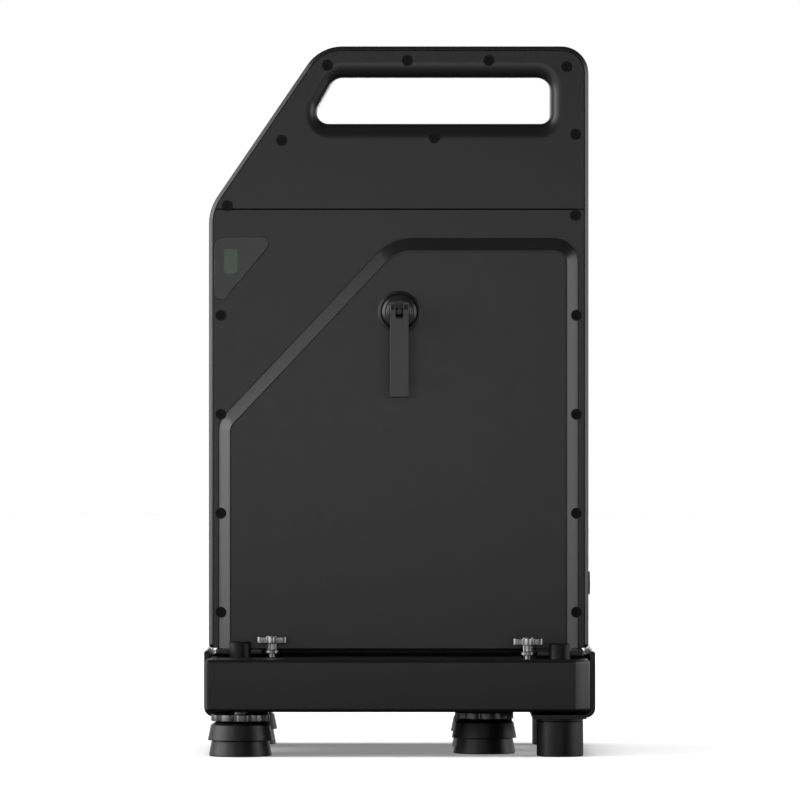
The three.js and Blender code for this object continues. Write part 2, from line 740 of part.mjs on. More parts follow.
function bracket(end, legY, halfWidth, wallHalfWidth) {
  const profile = outline([
    [end * plateInnerX, plateBottom, 0], [end * bracketHalfLength, plateBottom, bracketBend],
    [end * bracketHalfLength, bracketTop, 0], [end * wallInner, bracketTop, 0],
    [end * wallInner, plateTop, seat], [end * plateInnerX, plateTop, 0],
  ]);
  const plan = outline([
    [end * plateInnerX, -halfWidth, plateCorner], [end * bracketHalfLength, -halfWidth, 0],
    [end * bracketHalfLength, halfWidth, 0], [end * plateInnerX, halfWidth, plateCorner],
  ]);
  let sheet = across(profile, -halfWidth, halfWidth);
  sheet = sheet.intersect(slab(plan, plateBottom - overrun, bracketTop + overrun));
  for (const [, side] of sides) {
    const hole = rod(boltRadius + seat, plateBottom - overrun, plateTop + overrun);
    sheet = sheet.subtract(turnedZ(hole, end * pivotX, side * legY));
    if (wallHalfWidth < halfWidth) {
      const x = [end * (wallInner - overrun), end * (bracketHalfLength + overrun)];
      const y = [side * wallHalfWidth, side * (halfWidth + overrun)];
      sheet = sheet.subtract(block(
        Math.min(...x), Math.max(...x), Math.min(...y), Math.max(...y), plateTop, bracketTop + overrun,
      ));
    }
  }
  return sheet;
}

function strap(end, legY) {
  const halfLength = legY + strapOverhang;
  const near = end * (pivotX - strapHalfWidth);
  const far = end * (pivotX + strapHalfWidth);
  const plan = outline([
    [near, -halfLength, strapCorner], [far, -halfLength, strapCorner],
    [far, halfLength, strapCorner], [near, halfLength, strapCorner],
  ]);
  let bar = slab(plan, strapBottom, casingBottom - seat);
  for (const [, side] of sides) {
    const hole = rod(boltRadius + seat, strapBottom - overrun, casingBottom + overrun);
    bar = bar.subtract(turnedZ(hole, end * pivotX, side * legY));
  }
  return bar;
}

// A box beam under the casing, clamped between the plates and the straps.
function spine() {
  const end = wallInner - seat;
  const low = plateTop + seat;
  const high = strapBottom - seat;
  const inner = spineHalfWidth - spineWall;
  return block(-end, end, -spineHalfWidth, spineHalfWidth, low, high)
    .subtract(block(-end - overrun, end + overrun, -inner, inner, low + spineWall, high - spineWall));
}
add('base_spine', spine(), steelBlack);

function pivotBolt(x, y) {
  const headFoot = casingBottom;
  return turnedZ([
    [0, postBoltDepth], [boltRadius, postBoltDepth], [boltRadius, headFoot], [boltHeadRadius, headFoot],
    [boltHeadRadius, headFoot + boltHeadHeight], [0, headFoot + boltHeadHeight],
  ], x, y, smallSteps);
}

function post(x, y) {
  const top = plateBottom - seat;
  return turnedZ(rod(postRadius, 0, top), x, y, roundSteps)
    .subtract(turnedZ(rod(boltRadius + seat, postBoltDepth - seat, top + overrun), x, y));
}

// A leg lies along +X from its pivot at the origin.
const legTop = legBottom + legSize;
function legTube(reach, footReach) {
  const half = legSize / 2;
  const end = reach - tipThickness - seat;
  const plan = outline([
    [-legHeel, -half, legHeelRadius], [end, -half, 0], [end, half, 0], [-legHeel, half, legHeelRadius],
  ]);
  const inner = half - legWall;
  const middle = (legBottom + legTop) / 2;
  const round = (radius, x, low, high) => turnedZ(rod(radius, low, high), x, 0);
  return slab(plan, legBottom, legTop)
    .add(round(boltHeadRadius, 0, middle, legTop + collarHeight))
    .add(round(knobCollarRadius, knobReach, legTop - legWall / 2, legTop + knobCollarHeight))
    .subtract(round(stemRadius + seat, knobReach, legTop, legTop + overrun))
    .subtract(block(legHeelSolid, end + overrun, -inner, inner, legBottom + legWall, legTop - legWall))
    .subtract(round(boltRadius + seat, 0, legBottom - overrun, legTop + overrun))
    .subtract(round(lockPinRadius + seat, knobReach, legBottom - overrun, legTop + overrun))
    .subtract(round(studRadius + seat, footReach, legBottom - overrun, middle));
}

// A moulded cap with a bevelled face and a plug inside the tube.
function legTip(reach) {
  const half = legSize / 2;
  const plug = half - legWall - seat;
  const foot = reach - tipThickness;
  const low = legBottom + legWall + seat;
  const high = legTop - legWall - seat;
  const flat = tipThickness - tipBevel;
  const plan = outline([
    [foot, -half, 0], [foot + flat, -half, 0], [reach, -half + tipBevel, 0],
    [reach, half - tipBevel, 0], [foot + flat, half, 0], [foot, half, 0],
  ]);
  return slab(plan, legBottom, legTop).add(block(foot - tipPlug, foot + flat, -plug, plug, low, high));
}

// An outline of evenly spaced round lobes about a point.
function lobed(x, y, radius, depth, lobes) {
  const shape = new THREE.Shape();
  const steps = lobes * lobeSteps;
  for (let i = 0; i < steps; i += 1) {
    const angle = (2 * Math.PI * i) / steps;
    const reach = radius - depth * (1 - Math.cos(lobes * angle)) / 2;
    const point = [x + reach * Math.cos(angle), y + reach * Math.sin(angle)];
    if (i === 0) shape.moveTo(...point);
    else shape.lineTo(...point);
  }
  return shape;
}

function lockKnob() {
  const headFoot = legTop + knobLift;
  const stemFoot = legTop + seat;
  const pinFoot = plateTop + 2 * seat;
  const head = slab(lobed(knobReach, 0, knobRadius, lobeDepth, knobLobes), headFoot, headFoot + knobHeight);
  return head
    .add(turnedZ(rod(stemRadius, stemFoot, headFoot + seat), knobReach, 0))
    .add(turnedZ(rod(lockPinRadius, pinFoot, stemFoot + seat), knobReach, 0));
}

function footRing(x) {
  const ringFoot = footTop + seat;
  return slab(lobed(x, 0, ringRadius, ringLobeDepth, ringLobes), ringFoot, ringTop)
    .add(turnedZ(rod(studRadius, ringTop - seat, studTop), x, 0));
}

function rubberFoot(x) {
  return turnedZ([
    [0, footGap], [footBaseRadius, footGap], [footStepRadius, footStepZ], [footUpperRadius, footStepZ],
    [footShoulderRadius, footShoulderZ], [footTopRadius, footTop], [0, footTop],
  ], x, 0, roundSteps);
}

const reaches = { rear: [outerLegReach, outerFootReach], front: [innerLegReach, innerFootReach] };
for (const [endName, end, legY, halfWidth, wallHalfWidth] of pivots) {
  add(`${endName}_bracket`, bracket(end, legY, halfWidth, wallHalfWidth), steelBlack);
  add(`${endName}_strap`, strap(end, legY), steelBlack);
  const [reach, footReach] = reaches[endName];
  for (const [sideName, side] of sides) {
    const name = `${endName}_${sideName}`;
    const x = end * pivotX;
    const y = side * legY;
    add(`${name}_post`, post(x, y), rubberBlack);
    add(`${name}_pivot_bolt`, pivotBolt(x, y), steelBlack);
    const leg = new THREE.Group();
    leg.position.set(x, y, 0);
    leg.rotation.z = end > 0 ? Math.PI : 0;
    add(`${name}_leg`, legTube(reach, footReach), steelBlack, leg);
    add(`${name}_leg_tip`, legTip(reach), plasticBlack, leg);
    add(`${name}_lock_knob`, lockKnob(), brightMetal, leg);
    add(`${name}_foot_ring`, footRing(footReach), castGrey, leg);
    add(`${name}_foot`, rubberFoot(footReach), rubberBlack, leg);
    trainer.add(leg);
  }
}

export default trainer;
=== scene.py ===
# %% [markdown]
# # A direct drive bicycle trainer in black powder coat
# The trainer takes the place of the rear wheel, and a flywheel in its casing gives the resistance.
# The imported solids are the frame of this scene and give every place and joint. The cells below
# model the pieces that show, finer than the solids, and give each the finish of the real piece.

# %% Load the frame and bake each solid's place into its mesh
import math

import bmesh
import bpy
from mathutils import Matrix, Vector


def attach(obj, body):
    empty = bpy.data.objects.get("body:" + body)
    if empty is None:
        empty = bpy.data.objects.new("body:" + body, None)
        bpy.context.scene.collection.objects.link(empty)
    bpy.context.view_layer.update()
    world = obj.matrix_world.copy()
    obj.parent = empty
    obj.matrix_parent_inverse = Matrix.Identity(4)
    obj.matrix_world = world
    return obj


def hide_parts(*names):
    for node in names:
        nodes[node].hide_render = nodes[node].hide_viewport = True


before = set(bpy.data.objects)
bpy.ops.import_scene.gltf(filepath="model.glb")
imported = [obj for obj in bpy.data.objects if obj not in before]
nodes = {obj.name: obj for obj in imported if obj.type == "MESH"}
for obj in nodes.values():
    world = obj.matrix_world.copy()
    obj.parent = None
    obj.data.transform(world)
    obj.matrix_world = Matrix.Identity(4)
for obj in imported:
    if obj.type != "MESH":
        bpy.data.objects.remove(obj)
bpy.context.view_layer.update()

# %% [markdown]
# ## Camera
# The picture is taken square on to the left side. A near camera would lean the edges of the casing,
# so this one stands almost six metres off with a long lens, level with the middle of the trainer.
# It still looks a little up into the handle and down onto the base.

# %% Camera
camera_place = (0.0005, -5.829, 0.2722)
camera = bpy.data.objects.new("camera", bpy.data.cameras.new("camera"))
bpy.context.scene.collection.objects.link(camera)
camera.location = camera_place
camera.rotation_euler = (math.radians(90), 0, 0)
camera.data.sensor_width = 36
camera.data.lens = 337.23
camera.data.clip_end = 50
bpy.context.scene.camera = camera
print("camera field of view", round(math.degrees(camera.data.angle), 2))

# %% [markdown]
# ## Flat outlines
# Casing, covers and brackets are plates, so each starts as an outline. Sizes are in millimetres and
# turn to metres when a vertex is made. A corner could be a bevel, but a spun vertex gives a true
# arc, so that outlines at an even distance stay parallel.

# %% Outlines and prisms
MM = 0.001
LEFT, RIGHT = -1, 1
X, Y, Z = 0, 1, 2
ALONG_X, ALONG_Y, UP = (1, 0, 0), (0, 1, 0), (0, 0, 1)
# Places nearer than this count as one.
close = 0.01


def verts_of(geometry):
    return [g for g in geometry if isinstance(g, bmesh.types.BMVert)]


def edges_of(geometry):
    return [g for g in geometry if isinstance(g, bmesh.types.BMEdge)]


def face_xz(bm, corners, y, segments=8):
    """A face across the bicycle at depth y. Each corner (x, z, radius) is a vertex spun into an arc."""
    points = [Vector((x, y, z)) * MM for x, z, _ in corners]
    ends = []
    for i, point in enumerate(points):
        radius = corners[i][2] * MM
        back = (points[i - 1] - point).normalized()
        ahead = (points[(i + 1) % len(points)] - point).normalized()
        half_angle = back.angle(ahead) / 2
        first = bm.verts.new(point + back * radius / math.tan(half_angle))
        last = first
        if radius:
            centre = point + (back + ahead).normalized() * radius / math.sin(half_angle)
            turn_axis = (first.co - centre).cross(-back)
            arc = bmesh.ops.spin(bm, geom=[first], cent=centre, axis=turn_axis,
                                 angle=math.pi - 2 * half_angle, steps=segments)
            last = verts_of(arc["geom_last"])[0]
        ends.append((first, last))
    for i in range(len(ends)):
        bm.edges.new((ends[i - 1][1], ends[i][0]))
    return bmesh.ops.edgeloop_fill(bm, edges=bm.edges[:])["faces"]


def inset_corners(corners, distance):
    """The same corners moved inwards, for an outline given anticlockwise."""
    moved = []
    for i, (x, z, radius) in enumerate(corners):
        before, after = corners[i - 1], corners[(i + 1) % len(corners)]
        arriving = Vector((x - before[0], z - before[1])).normalized()
        leaving = Vector((after[0] - x, after[1] - z)).normalized()
        normal = Vector((-arriving.y - leaving.y, arriving.x + leaving.x))
        shift = distance / (1 + arriving.dot(leaving))
        moved.append((x + normal.x * shift, z + normal.y * shift, max(radius - distance, 0)))
    return moved


def extrude(bm, faces, vector):
    """Gives faces a thickness along a vector in millimetres."""
    made = bmesh.ops.extrude_face_region(bm, geom=faces, use_keep_orig=True)
    bmesh.ops.translate(bm, vec=Vector(vector) * MM, verts=verts_of(made["geom"]))
    bmesh.ops.recalc_face_normals(bm, faces=bm.faces)


def prism_xz(corners, y0, y1, segments=8):
    """A closed prism of an outline across the bicycle, between two depths."""
    bm = bmesh.new()
    extrude(bm, face_xz(bm, corners, y0, segments), (0, y1 - y0, 0))
    return bm


print("a corner 5 in from (0, 0):", inset_corners([(0, 0, 9), (50, 0, 9), (0, 50, 9)], 5)[0])

# %% [markdown]
# ## Edges, blocks and turned parts
# A bevel needs the right edges, so small tests pick them by place, angle or direction. Bolts and
# caps come off a lathe and are made like that here: half a profile spins about its axis.

# %% Edge tests, bevels, blocks and turned parts


def edges_where(bm, test):
    """Edges whose two ends pass a test on their position in millimetres."""
    return [e for e in bm.edges if all(test(v.co / MM) for v in e.verts)]


def edges_at(bm, axis, place):
    """Edges that lie in the plane across an axis at a place in millimetres."""
    return edges_where(bm, lambda p: abs(p[axis] - place) < close)


def edges_along(bm, axis):
    """Edges of a plain block that run along an axis."""
    return [e for e in bm.edges if abs((e.verts[0].co - e.verts[1].co)[axis]) > MM]


def sharp(edges, degrees=60):
    return [e for e in edges if len(e.link_faces) == 2 and e.calc_face_angle(0) > math.radians(degrees)]


def bevel(bm, edges, offset, segments=3, clamp=True):
    bmesh.ops.bevel(bm, geom=edges, affect="EDGES", offset=offset * MM, segments=segments, profile=0.5,
                    material=-1, clamp_overlap=clamp)


def block(xs, ys, zs, edge=0.0, segments=3):
    """A box between two places on each axis, given in either order, with rounded edges."""
    bm = bmesh.new()
    bmesh.ops.create_cube(bm, size=1)
    bmesh.ops.scale(bm, vec=Vector([abs(b - a) for a, b in (xs, ys, zs)]) * MM, verts=bm.verts)
    bmesh.ops.translate(bm, vec=Vector([a + b for a, b in (xs, ys, zs)]) * MM / 2, verts=bm.verts)
    if edge:
        bevel(bm, bm.edges[:], edge, segments)
    return bm


def turned(points, axis, centre, steps=48):
    """A solid of revolution. Points are (radius, place along the axis), and the loop is closed."""
    bm = bmesh.new()
    along = Vector(axis)
    across = Vector(ALONG_X) if axis == UP else Vector(UP)
    middle = Vector(centre) * MM
    verts = [bm.verts.new(middle + (along * t + across * r) * MM) for r, t in points]
    for i in range(len(verts)):
        if points[i - 1][0] or points[i][0]:
            bm.edges.new((verts[i - 1], verts[i]))
    bmesh.ops.spin(bm, geom=verts + bm.edges[:], cent=middle, axis=along, angle=2 * math.pi, steps=steps,
                   use_merge=True)
    bmesh.ops.remove_doubles(bm, verts=bm.verts, dist=1e-6)
    bmesh.ops.recalc_face_normals(bm, faces=bm.faces)
    return bm


def rod(radius, start, end, axis, centre, steps=48):
    """A plain cylinder between two places on an axis, for pins, bosses and drills."""
    return turned([(0, start), (radius, start), (radius, end), (0, end)], axis, centre, steps)


trial = rod(1, 0, 1, UP, (0, 0, 0))
print("a turned pin has", len(trial.faces), "faces")
trial.free()

# %% [markdown]
# ## Cuts, joins and finished pieces
# A hole could be painted on, but its edge has to catch the light. So holes and pockets are exact
# booleans, whose result is a bmesh again. A finished piece is shaded smooth with its sharp edges
# kept, and rides on the body that carries it.

# %% Cuts, joins and finished pieces
merge_distance = 2e-6


def join(first, *others):
    """Adds other closed shapes to the first as they are."""
    for other in others:
        mesh = bpy.data.meshes.new("joined")
        other.to_mesh(mesh)
        other.free()
        first.from_mesh(mesh)
        bpy.data.meshes.remove(mesh)
    return first


def holder(bm, name="shape"):
    """An object that holds a bmesh."""
    mesh = bpy.data.meshes.new(name)
    bm.to_mesh(mesh)
    bm.free()
    made = bpy.data.objects.new(name, mesh)
    bpy.context.scene.collection.objects.link(made)
    return made


def boolean(bm, *others, operation="DIFFERENCE"):
    """Cuts or joins closed shapes, one after the other, and gives the result as a new bmesh."""
    for other in others:
        body, tool = holder(bm), holder(other)
        cut = body.modifiers.new("cut", "BOOLEAN")
        cut.operation = operation
        cut.solver = "EXACT"
        cut.object = tool
        bpy.context.view_layer.update()
        depsgraph = bpy.context.evaluated_depsgraph_get()
        bm = bmesh.new()
        bm.from_mesh(body.evaluated_get(depsgraph).to_mesh())
        for made in (body, tool):
            mesh = made.data
            bpy.data.objects.remove(made)
            bpy.data.meshes.remove(mesh)
        bmesh.ops.remove_doubles(bm, verts=bm.verts, dist=merge_distance)
        bmesh.ops.dissolve_degenerate(bm, edges=bm.edges, dist=merge_distance)
    return bm


def sliced(bm, point, outwards):
    """Cuts off what lies outside a plane through a point in millimetres and closes the cut."""
    cut = bmesh.ops.bisect_plane(bm, geom=bm.verts[:] + bm.edges[:] + bm.faces[:], clear_outer=True,
                                 plane_co=[value * MM for value in point], plane_no=outwards)
    bmesh.ops.holes_fill(bm, edges=edges_of(cut["geom_cut"]))


def trimmed(bm, low, high):
    """Keeps what lies between two heights."""
    for height, outwards in ((low, -1), (high, 1)):
        if height is not None:
            sliced(bm, (0, 0, height), (0, 0, outwards))
    bmesh.ops.recalc_face_normals(bm, faces=bm.faces)
    return bm


def piece(name, bm, material, body, replaces=(), smooth=32):
    """Makes the finished piece: smooth shading with real edges, its finish and its body."""
    made = holder(bm, name)
    mesh = made.data
    mesh.materials.append(material)
    mesh.shade_smooth()
    mesh.set_sharp_from_angle(angle=math.radians(smooth))
    weighted = made.modifiers.new("flat faces stay flat", "WEIGHTED_NORMAL")
    weighted.keep_sharp = True
    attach(made, body)
    if replaces:
        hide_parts(*replaces)
    print(name, len(mesh.polygons), "faces")


print("nearer than", merge_distance / MM, "mm, points merge")

# %% [markdown]
# ## Materials
# Almost everything is black, and steel, anodised and rubber parts are told apart by their gloss more
# than by their colour. One function makes nearly every finish from noises in object coordinates:
# patches shift the colour, wear shifts the gloss, and a grain lifts the surface.

# %% Colour and node helpers


def srgb(code):
    """A linear colour from an sRGB hex value."""
    channels = [int(code[i:i + 2], 16) / 255 for i in (1, 3, 5)]
    linear = [c / 12.92 if c <= 0.04045 else ((c + 0.055) / 1.055) ** 2.4 for c in channels]
    return (*linear, 1)


def node(owner, kind, settings=None, links=None):
    """Adds a node, of a kind named without ShaderNode. Settings fill inputs, or else properties.

    A link that is given as a node comes from its first output.
    """
    tree = owner.node_tree
    made = tree.nodes.new("ShaderNode" + kind)
    for key, value in (settings or {}).items():
        if isinstance(key, int) or key in made.inputs:
            made.inputs[key].default_value = value
        else:
            setattr(made, key, value)
    for key, source in (links or {}).items():
        start = source.outputs[0] if isinstance(source, bpy.types.Node) else source
        tree.links.new(start, made.inputs[key])
    return made


def new_material(name):
    material = bpy.data.materials.new(name)
    material.use_nodes = True
    material.node_tree.nodes.clear()
    return material


print("sRGB middle grey is", round(srgb("#808080")[0], 3), "in linear light")

# %% One finish from three noises
noise_span = {"From Min": 0.3, "From Max": 0.7}
mix_first, mix_second, mix_colour = 6, 7, 2


def finish(name, dark, light, roughness, patch, grain=None, wear=None, depth=0, stretch=(1, 1, 1), **fixed):
    """A finish from noises of (size in millimetres, detail, roughness).

    The roughness is one number, or the least and most that the wear gives. The grain is as deep as
    depth says, in millimetres, and the stretch draws grain and wear out along an axis.
    """
    material = new_material(name)
    where = node(material, "TexCoord").outputs["Object"]
    drawn = node(material, "Mapping", {"Scale": stretch}, {"Vector": where})
    noises = {}
    for noise, place in ((patch, where), (grain, drawn), (wear, drawn)):
        if noise and noise not in noises:
            shape = {"Scale": 1 / (noise[0] * MM), "Detail": noise[1], "Roughness": noise[2]}
            noises[noise] = node(material, "TexNoise", shape, {"Vector": place})
    drift = node(material, "MapRange", noise_span, {"Value": noises[patch]})
    tones = {"data_type": "RGBA", mix_first: srgb(dark), mix_second: srgb(light)}
    colour = node(material, "Mix", tones, {0: drift})
    settings = {key.replace("_", " "): value for key, value in fixed.items()}
    links = {"Base Color": colour.outputs[mix_colour]}
    if wear:
        limits = {**noise_span, "To Min": roughness[0], "To Max": roughness[1]}
        links["Roughness"] = node(material, "MapRange", limits, {"Value": noises[wear]})
    else:
        settings["Roughness"] = roughness
    if grain:
        relief = {"Strength": 1, "Distance": depth * MM}
        links["Normal"] = node(material, "Bump", relief, {"Height": noises[grain]})
    shader = node(material, "BsdfPrincipled", settings, links)
    node(material, "OutputMaterial", {}, {"Surface": shader})
    return material


print("noise between", *noise_span.values(), "spans each finish")

# %% [markdown]
# ## Powder coat
# Castings and tubes are sprayed with polyester powder and baked. It flows into a fine orange peel,
# about a millimetre across, so that its gloss is broken up and never mirrors. The clouds of a few
# centimetres are what handling leaves.

# %% Powder coats


def powder_coat(name, dark, light, roughness, peel_mm, specular):
    """Baked polyester powder: a satin black with a broken gloss."""
    return finish(name, dark, light, (roughness - 0.012, roughness + 0.018), patch=(60, 4, 0.6),
                  grain=(peel_mm, 3, 0.5), wear=(9, 5, 0.65), depth=0.02, Specular_IOR_Level=specular)


cover_coat = powder_coat("powder_coated_die_cast_cover", "#141414", "#151515", 0.36, 1.3, 0.4)
rim_coat = powder_coat("powder_coated_die_cast_frame", "#141414", "#151515", 0.36, 1.3, 0.4)
# Painted shade: the tube coat is a darker black than the casing's, so the legs read darker under the same
# lamps.
leg_coat_with_painted_shade = powder_coat("powder_coated_steel_tube", "#0c0c0c", "#0e0e0e", 0.36, 1.1, 0.36)
bracket_coat = powder_coat("powder_coated_steel_sheet", "#0b0b0b", "#0d0d0d", 0.34, 1.1, 0.3)
lever_paint = powder_coat("satin_painted_lever", "#363636", "#393939", 0.42, 0.8, 0.35)
print("powder coats made")

# %% [markdown]
# ## Rubber, plastic and blackened screws
# Feet and belt are pressed rubber, and the plugs are moulded nylon. The tool is spark eroded, which
# leaves a grain of under a millimetre that takes the shine off. Blackened steel has a like grain.

# %% Moulded and blackened finishes


def grained(name, dark, light, roughness, grain_mm, depth, specular=0.5):
    """A matt black with a fine grain, from a spark-eroded tool or a blackening bath."""
    grain = (grain_mm, 4, 0.6)
    return finish(name, dark, light, (roughness - 0.05, roughness + 0.06), patch=(14, 4, 0.6), grain=grain,
                  wear=grain, depth=depth, Specular_IOR_Level=specular)


foot_rubber = grained("moulded_nitrile_rubber", "#080808", "#0b0b0b", 0.4, 0.9, 0.02, 0.33)
black_nylon = grained("moulded_black_nylon", "#171717", "#1b1b1b", 0.5, 0.8, 0.02)
belt_rubber = grained("moulded_neoprene_belt", "#121212", "#181818", 0.7, 0.7, 0.03, 0.3)
bolt_steel = grained("black_zinc_plated_bolt", "#080808", "#0b0b0b", 0.4, 0.7, 0.01, 0.2)
screw_black = grained("black_oxide_socket_screw", "#060606", "#090909", 0.45, 0.6, 0.01, 0.16)
print("rubber, nylon and blackened steel made")

# %% [markdown]
# ## Turned metals
# A lathe leaves fine rings around the axis that a part turned on. Real rings are finer than a
# pixel, so they are drawn half a millimetre wide, and drawn out around the axis by a stretch. They
# smear the highlight, which tells turned steel and aluminium from paint.

# %% Turned metals
ring_stretch = 0.06


def turned_metal(name, dark, light, roughness, groove_mm, axis, metallic=1.0):
    """Machined or ground metal, with rings around the axis that it was turned on."""
    rings = (groove_mm, 3, 0.5)
    stretch = [1 if i == axis else ring_stretch for i in (X, Y, Z)]
    return finish(name, dark, light, (roughness - 0.02, roughness + 0.03), patch=(7, 4, 0.6), grain=rings,
                  wear=rings, depth=0.01, stretch=stretch, Metallic=metallic)


ground_steel = turned_metal("ground_bearing_steel", "#9a9a98", "#a8a8a6", 0.28, 0.5, Y)
nickel_steel = turned_metal("nickel_plated_sprocket_steel", "#6c6b69", "#777573", 0.34, 0.6, Y)
hard_anodised = turned_metal("hard_anodised_aluminium", "#3c3c3d", "#444445", 0.38, 0.5, Y)
machined_aluminium = turned_metal("machined_aluminium", "#8e8e8e", "#9d9d9d", 0.32, 0.5, Y)
black_cap = turned_metal("black_anodised_end_cap", "#1c1c1c", "#212121", 0.36, 0.5, Y, 0.4)
knob_metal = turned_metal("machined_knob_aluminium", "#787878", "#838383", 0.34, 0.7, Z)
ring_metal = turned_metal("dark_anodised_adjuster", "#606060", "#6c6c6c", 0.33, 0.7, Z)
cast_iron = turned_metal("turned_cast_iron", "#5c5c5c", "#6a6a6a", 0.38, 0.6, Y)
print("turned metals made")

# %% [markdown]
# ## Studio
# A black object on white needs its light at the edges. A large softbox on the left makes the edges
# that face it glow, and a dimmer one on the right does less for the other side. A weak one to the
# left front rounds the corners, a low panel behind the camera gives knobs and lever a sheen, and
# another lights the far side. A wide sun from above shows only as soft light and shadow.

# %% Lamps
softboxes = [("left softbox", (-1.9, -0.35, 0.85), (1.9, 1.66), 54, (0, -0.15, 0.3)),
             ("left front softbox", (-1.3, -1.7, 0.6), (1.0, 1.1), 7, (0, -0.15, 0.3)),
             ("right softbox", (1.9, -0.3, 0.55), (1.9, 1.1), 20.5, (0, -0.1, 0.3)),
             ("front panel", (-0.09, -2.2, 0.28), (0.88, 0.27), 2.8, (-0.02, 0, 0.28)),
             ("back panel", (0, 2.2, 0.27), (0.9, 0.5), 2.8, (0, 0, 0.3))]
for name, place, size, watts, aim in softboxes:
    lamp = bpy.data.objects.new(name, bpy.data.lights.new(name, "AREA"))
    bpy.context.scene.collection.objects.link(lamp)
    lamp.data.shape = "RECTANGLE"
    lamp.data.size, lamp.data.size_y = size
    lamp.data.energy = watts
    lamp.location = place
    lamp.rotation_euler = (Vector(aim) - Vector(place)).to_track_quat("-Z", "Y").to_euler()
    lamp.visible_camera = False

overhead = bpy.data.objects.new("overhead lamp", bpy.data.lights.new("overhead lamp", "SUN"))
bpy.context.scene.collection.objects.link(overhead)
overhead.data.energy = 2.9
overhead.data.angle = math.radians(45)
overhead.visible_glossy = False
print("lamps", len(bpy.data.lights))

# %% [markdown]
# ## White background
# Camera and glass see a white world. If black paint saw it too, the whole trainer would turn grey,
# so its light on the trainer is weak, and a reflection sees white only low down behind the object,
# as from a lit backdrop. To the camera the floor is white, greyed a little near the trainer by painted
# shade. To the trainer the floor is painted dark near by, as the shade under it, and is white only far off.

# %% World
ambient = 0.05
# The larger of two flags is on when either is on.
either, product = {"operation": "MAXIMUM"}, {"operation": "MULTIPLY"}
world = bpy.data.worlds.new("studio")
bpy.context.scene.world = world
world.use_nodes = True
world.node_tree.nodes.clear()
ray = node(world, "LightPath")
seen = node(world, "Math", either, {0: ray.outputs["Is Camera Ray"], 1: ray.outputs["Is Transmission Ray"]})
direction = node(world, "TexCoord")
split = node(world, "SeparateXYZ", {}, {"Vector": direction.outputs["Generated"]})
behind = node(world, "MapRange", {"From Min": 0.1, "From Max": 0.5}, {"Value": split.outputs["Y"]})
height = node(world, "Math", {"operation": "ABSOLUTE"}, {0: split.outputs["Z"]})
low = node(world, "MapRange", {**noise_span, "To Min": 1.0, "To Max": 0.0}, {"Value": height})
wall = node(world, "Math", product, {0: behind, 1: low})
glossy = node(world, "Math", product, {0: ray.outputs["Is Glossy Ray"], 1: wall})
white = node(world, "Math", either, {0: seen, 1: glossy})
level = node(world, "Math", {**either, 1: ambient}, {0: white})
background = node(world, "Background", {"Color": (1, 1, 1, 1)}, {"Strength": level})
node(world, "OutputWorld", {}, {"Surface": background})
print("world nodes", len(world.node_tree.nodes))

# %% Floor
floor_half = 12
# Painted shade: to the trainer's rays the floor is dark near it and lightens from 0.5 m to 2.2 m out.
trainer_sees_painted_dark = {"From Min": 0.5, "From Max": 2.2, "To Min": 0.05, "To Max": 0.7}
# Painted shade: to the camera the floor's tone drops from 0.8 to 0.7 towards the trainer, a soft shadow.
camera_sees_painted_shade = {"From Min": 0.15, "From Max": 0.8, "To Min": 0.7, "To Max": 0.8}
own_light = 0.3
floor_bm = bmesh.new()
bmesh.ops.create_grid(floor_bm, x_segments=1, y_segments=1, size=floor_half)
floor = holder(floor_bm, "floor")
paint = new_material("white_studio_floor")
ray = node(paint, "LightPath")
where = node(paint, "TexCoord")
distance = node(paint, "VectorMath", {"operation": "LENGTH"}, {0: where.outputs["Object"]}).outputs["Value"]
seen = node(paint, "Math", either, {0: ray.outputs["Is Camera Ray"], 1: ray.outputs["Is Transmission Ray"]})
floor_tone_painted_for_trainer = node(paint, "MapRange", trainer_sees_painted_dark, {"Value": distance})
floor_tone_painted_for_camera = node(paint, "MapRange", camera_sees_painted_shade, {"Value": distance})
tone = node(paint, "MapRange", {}, {"Value": seen, "To Min": floor_tone_painted_for_trainer, "To Max": floor_tone_painted_for_camera})
diffuse = node(paint, "BsdfDiffuse", {}, {"Color": tone})
shown = node(paint, "Math", either, {0: seen, 1: ray.outputs["Is Glossy Ray"]})
lift = node(paint, "Math", {**product, 1: own_light}, {0: shown})
# The glow follows the tone, so it carries the painted shade as well.
level = node(paint, "Math", product, {0: lift, 1: tone})
glow = node(paint, "Emission", {"Color": (1, 1, 1, 1)}, {"Strength": level})
both = node(paint, "AddShader", {}, {0: diffuse, 1: glow})
node(paint, "OutputMaterial", {}, {"Surface": both})
floor.data.materials.append(paint)
bpy.context.scene.view_settings.view_transform = "Standard"
print("floor nodes", len(paint.node_tree.nodes))

# %% [markdown]
# ## Casing
# A die-cast frame carries two covers on each side, and its edge shows as a thin rounded rim around
# them. Rim, seam and slot could each be drawn, but here all are cut from prisms of one outline moved
# in or out, so that the gaps are even.

# %% Casing outlines
casing_half, casing_left = 146.3, 147.3
casing_bottom, casing_top = 80.5, 545.7
left_face, right_face = 35.5, 22.5
axle_z, flywheel_z = 340.0, 180.0
axle = (0, 0, axle_z)
cover_thickness = 5.5
seam_z = 419.7
gap = 0.4
rim_width = 3.0
# Far enough out for a cut to pass through frame, handle or panel.
beyond, beyond_handle, beyond_panel = 60, 90, 50


def casing_corners(bottom):
    """The casing's outline. The front is set back above the shoulder."""
    return [(-casing_left, bottom, 3), (casing_half, bottom, 3), (casing_half, casing_top, 21),
            (-61.5, casing_top, 33), (-casing_left, seam_z + 0.3, 38)]


def slot_outline(top, top_front):
    """The handle slot, whose front end slants like the casing."""
    return [(-70.9, 486.0, 9.4), (117.1, 486.0, 8), (117.1, top, 11), (top_front, top, 12)]


slot_corners = slot_outline(521.6, -50.5)
frame_slot_corners = slot_outline(524.4, -48.9)
cover_corners = inset_corners(casing_corners(casing_bottom - rim_width - gap), rim_width + gap)
print("the casing is", casing_half + casing_left, "mm wide")

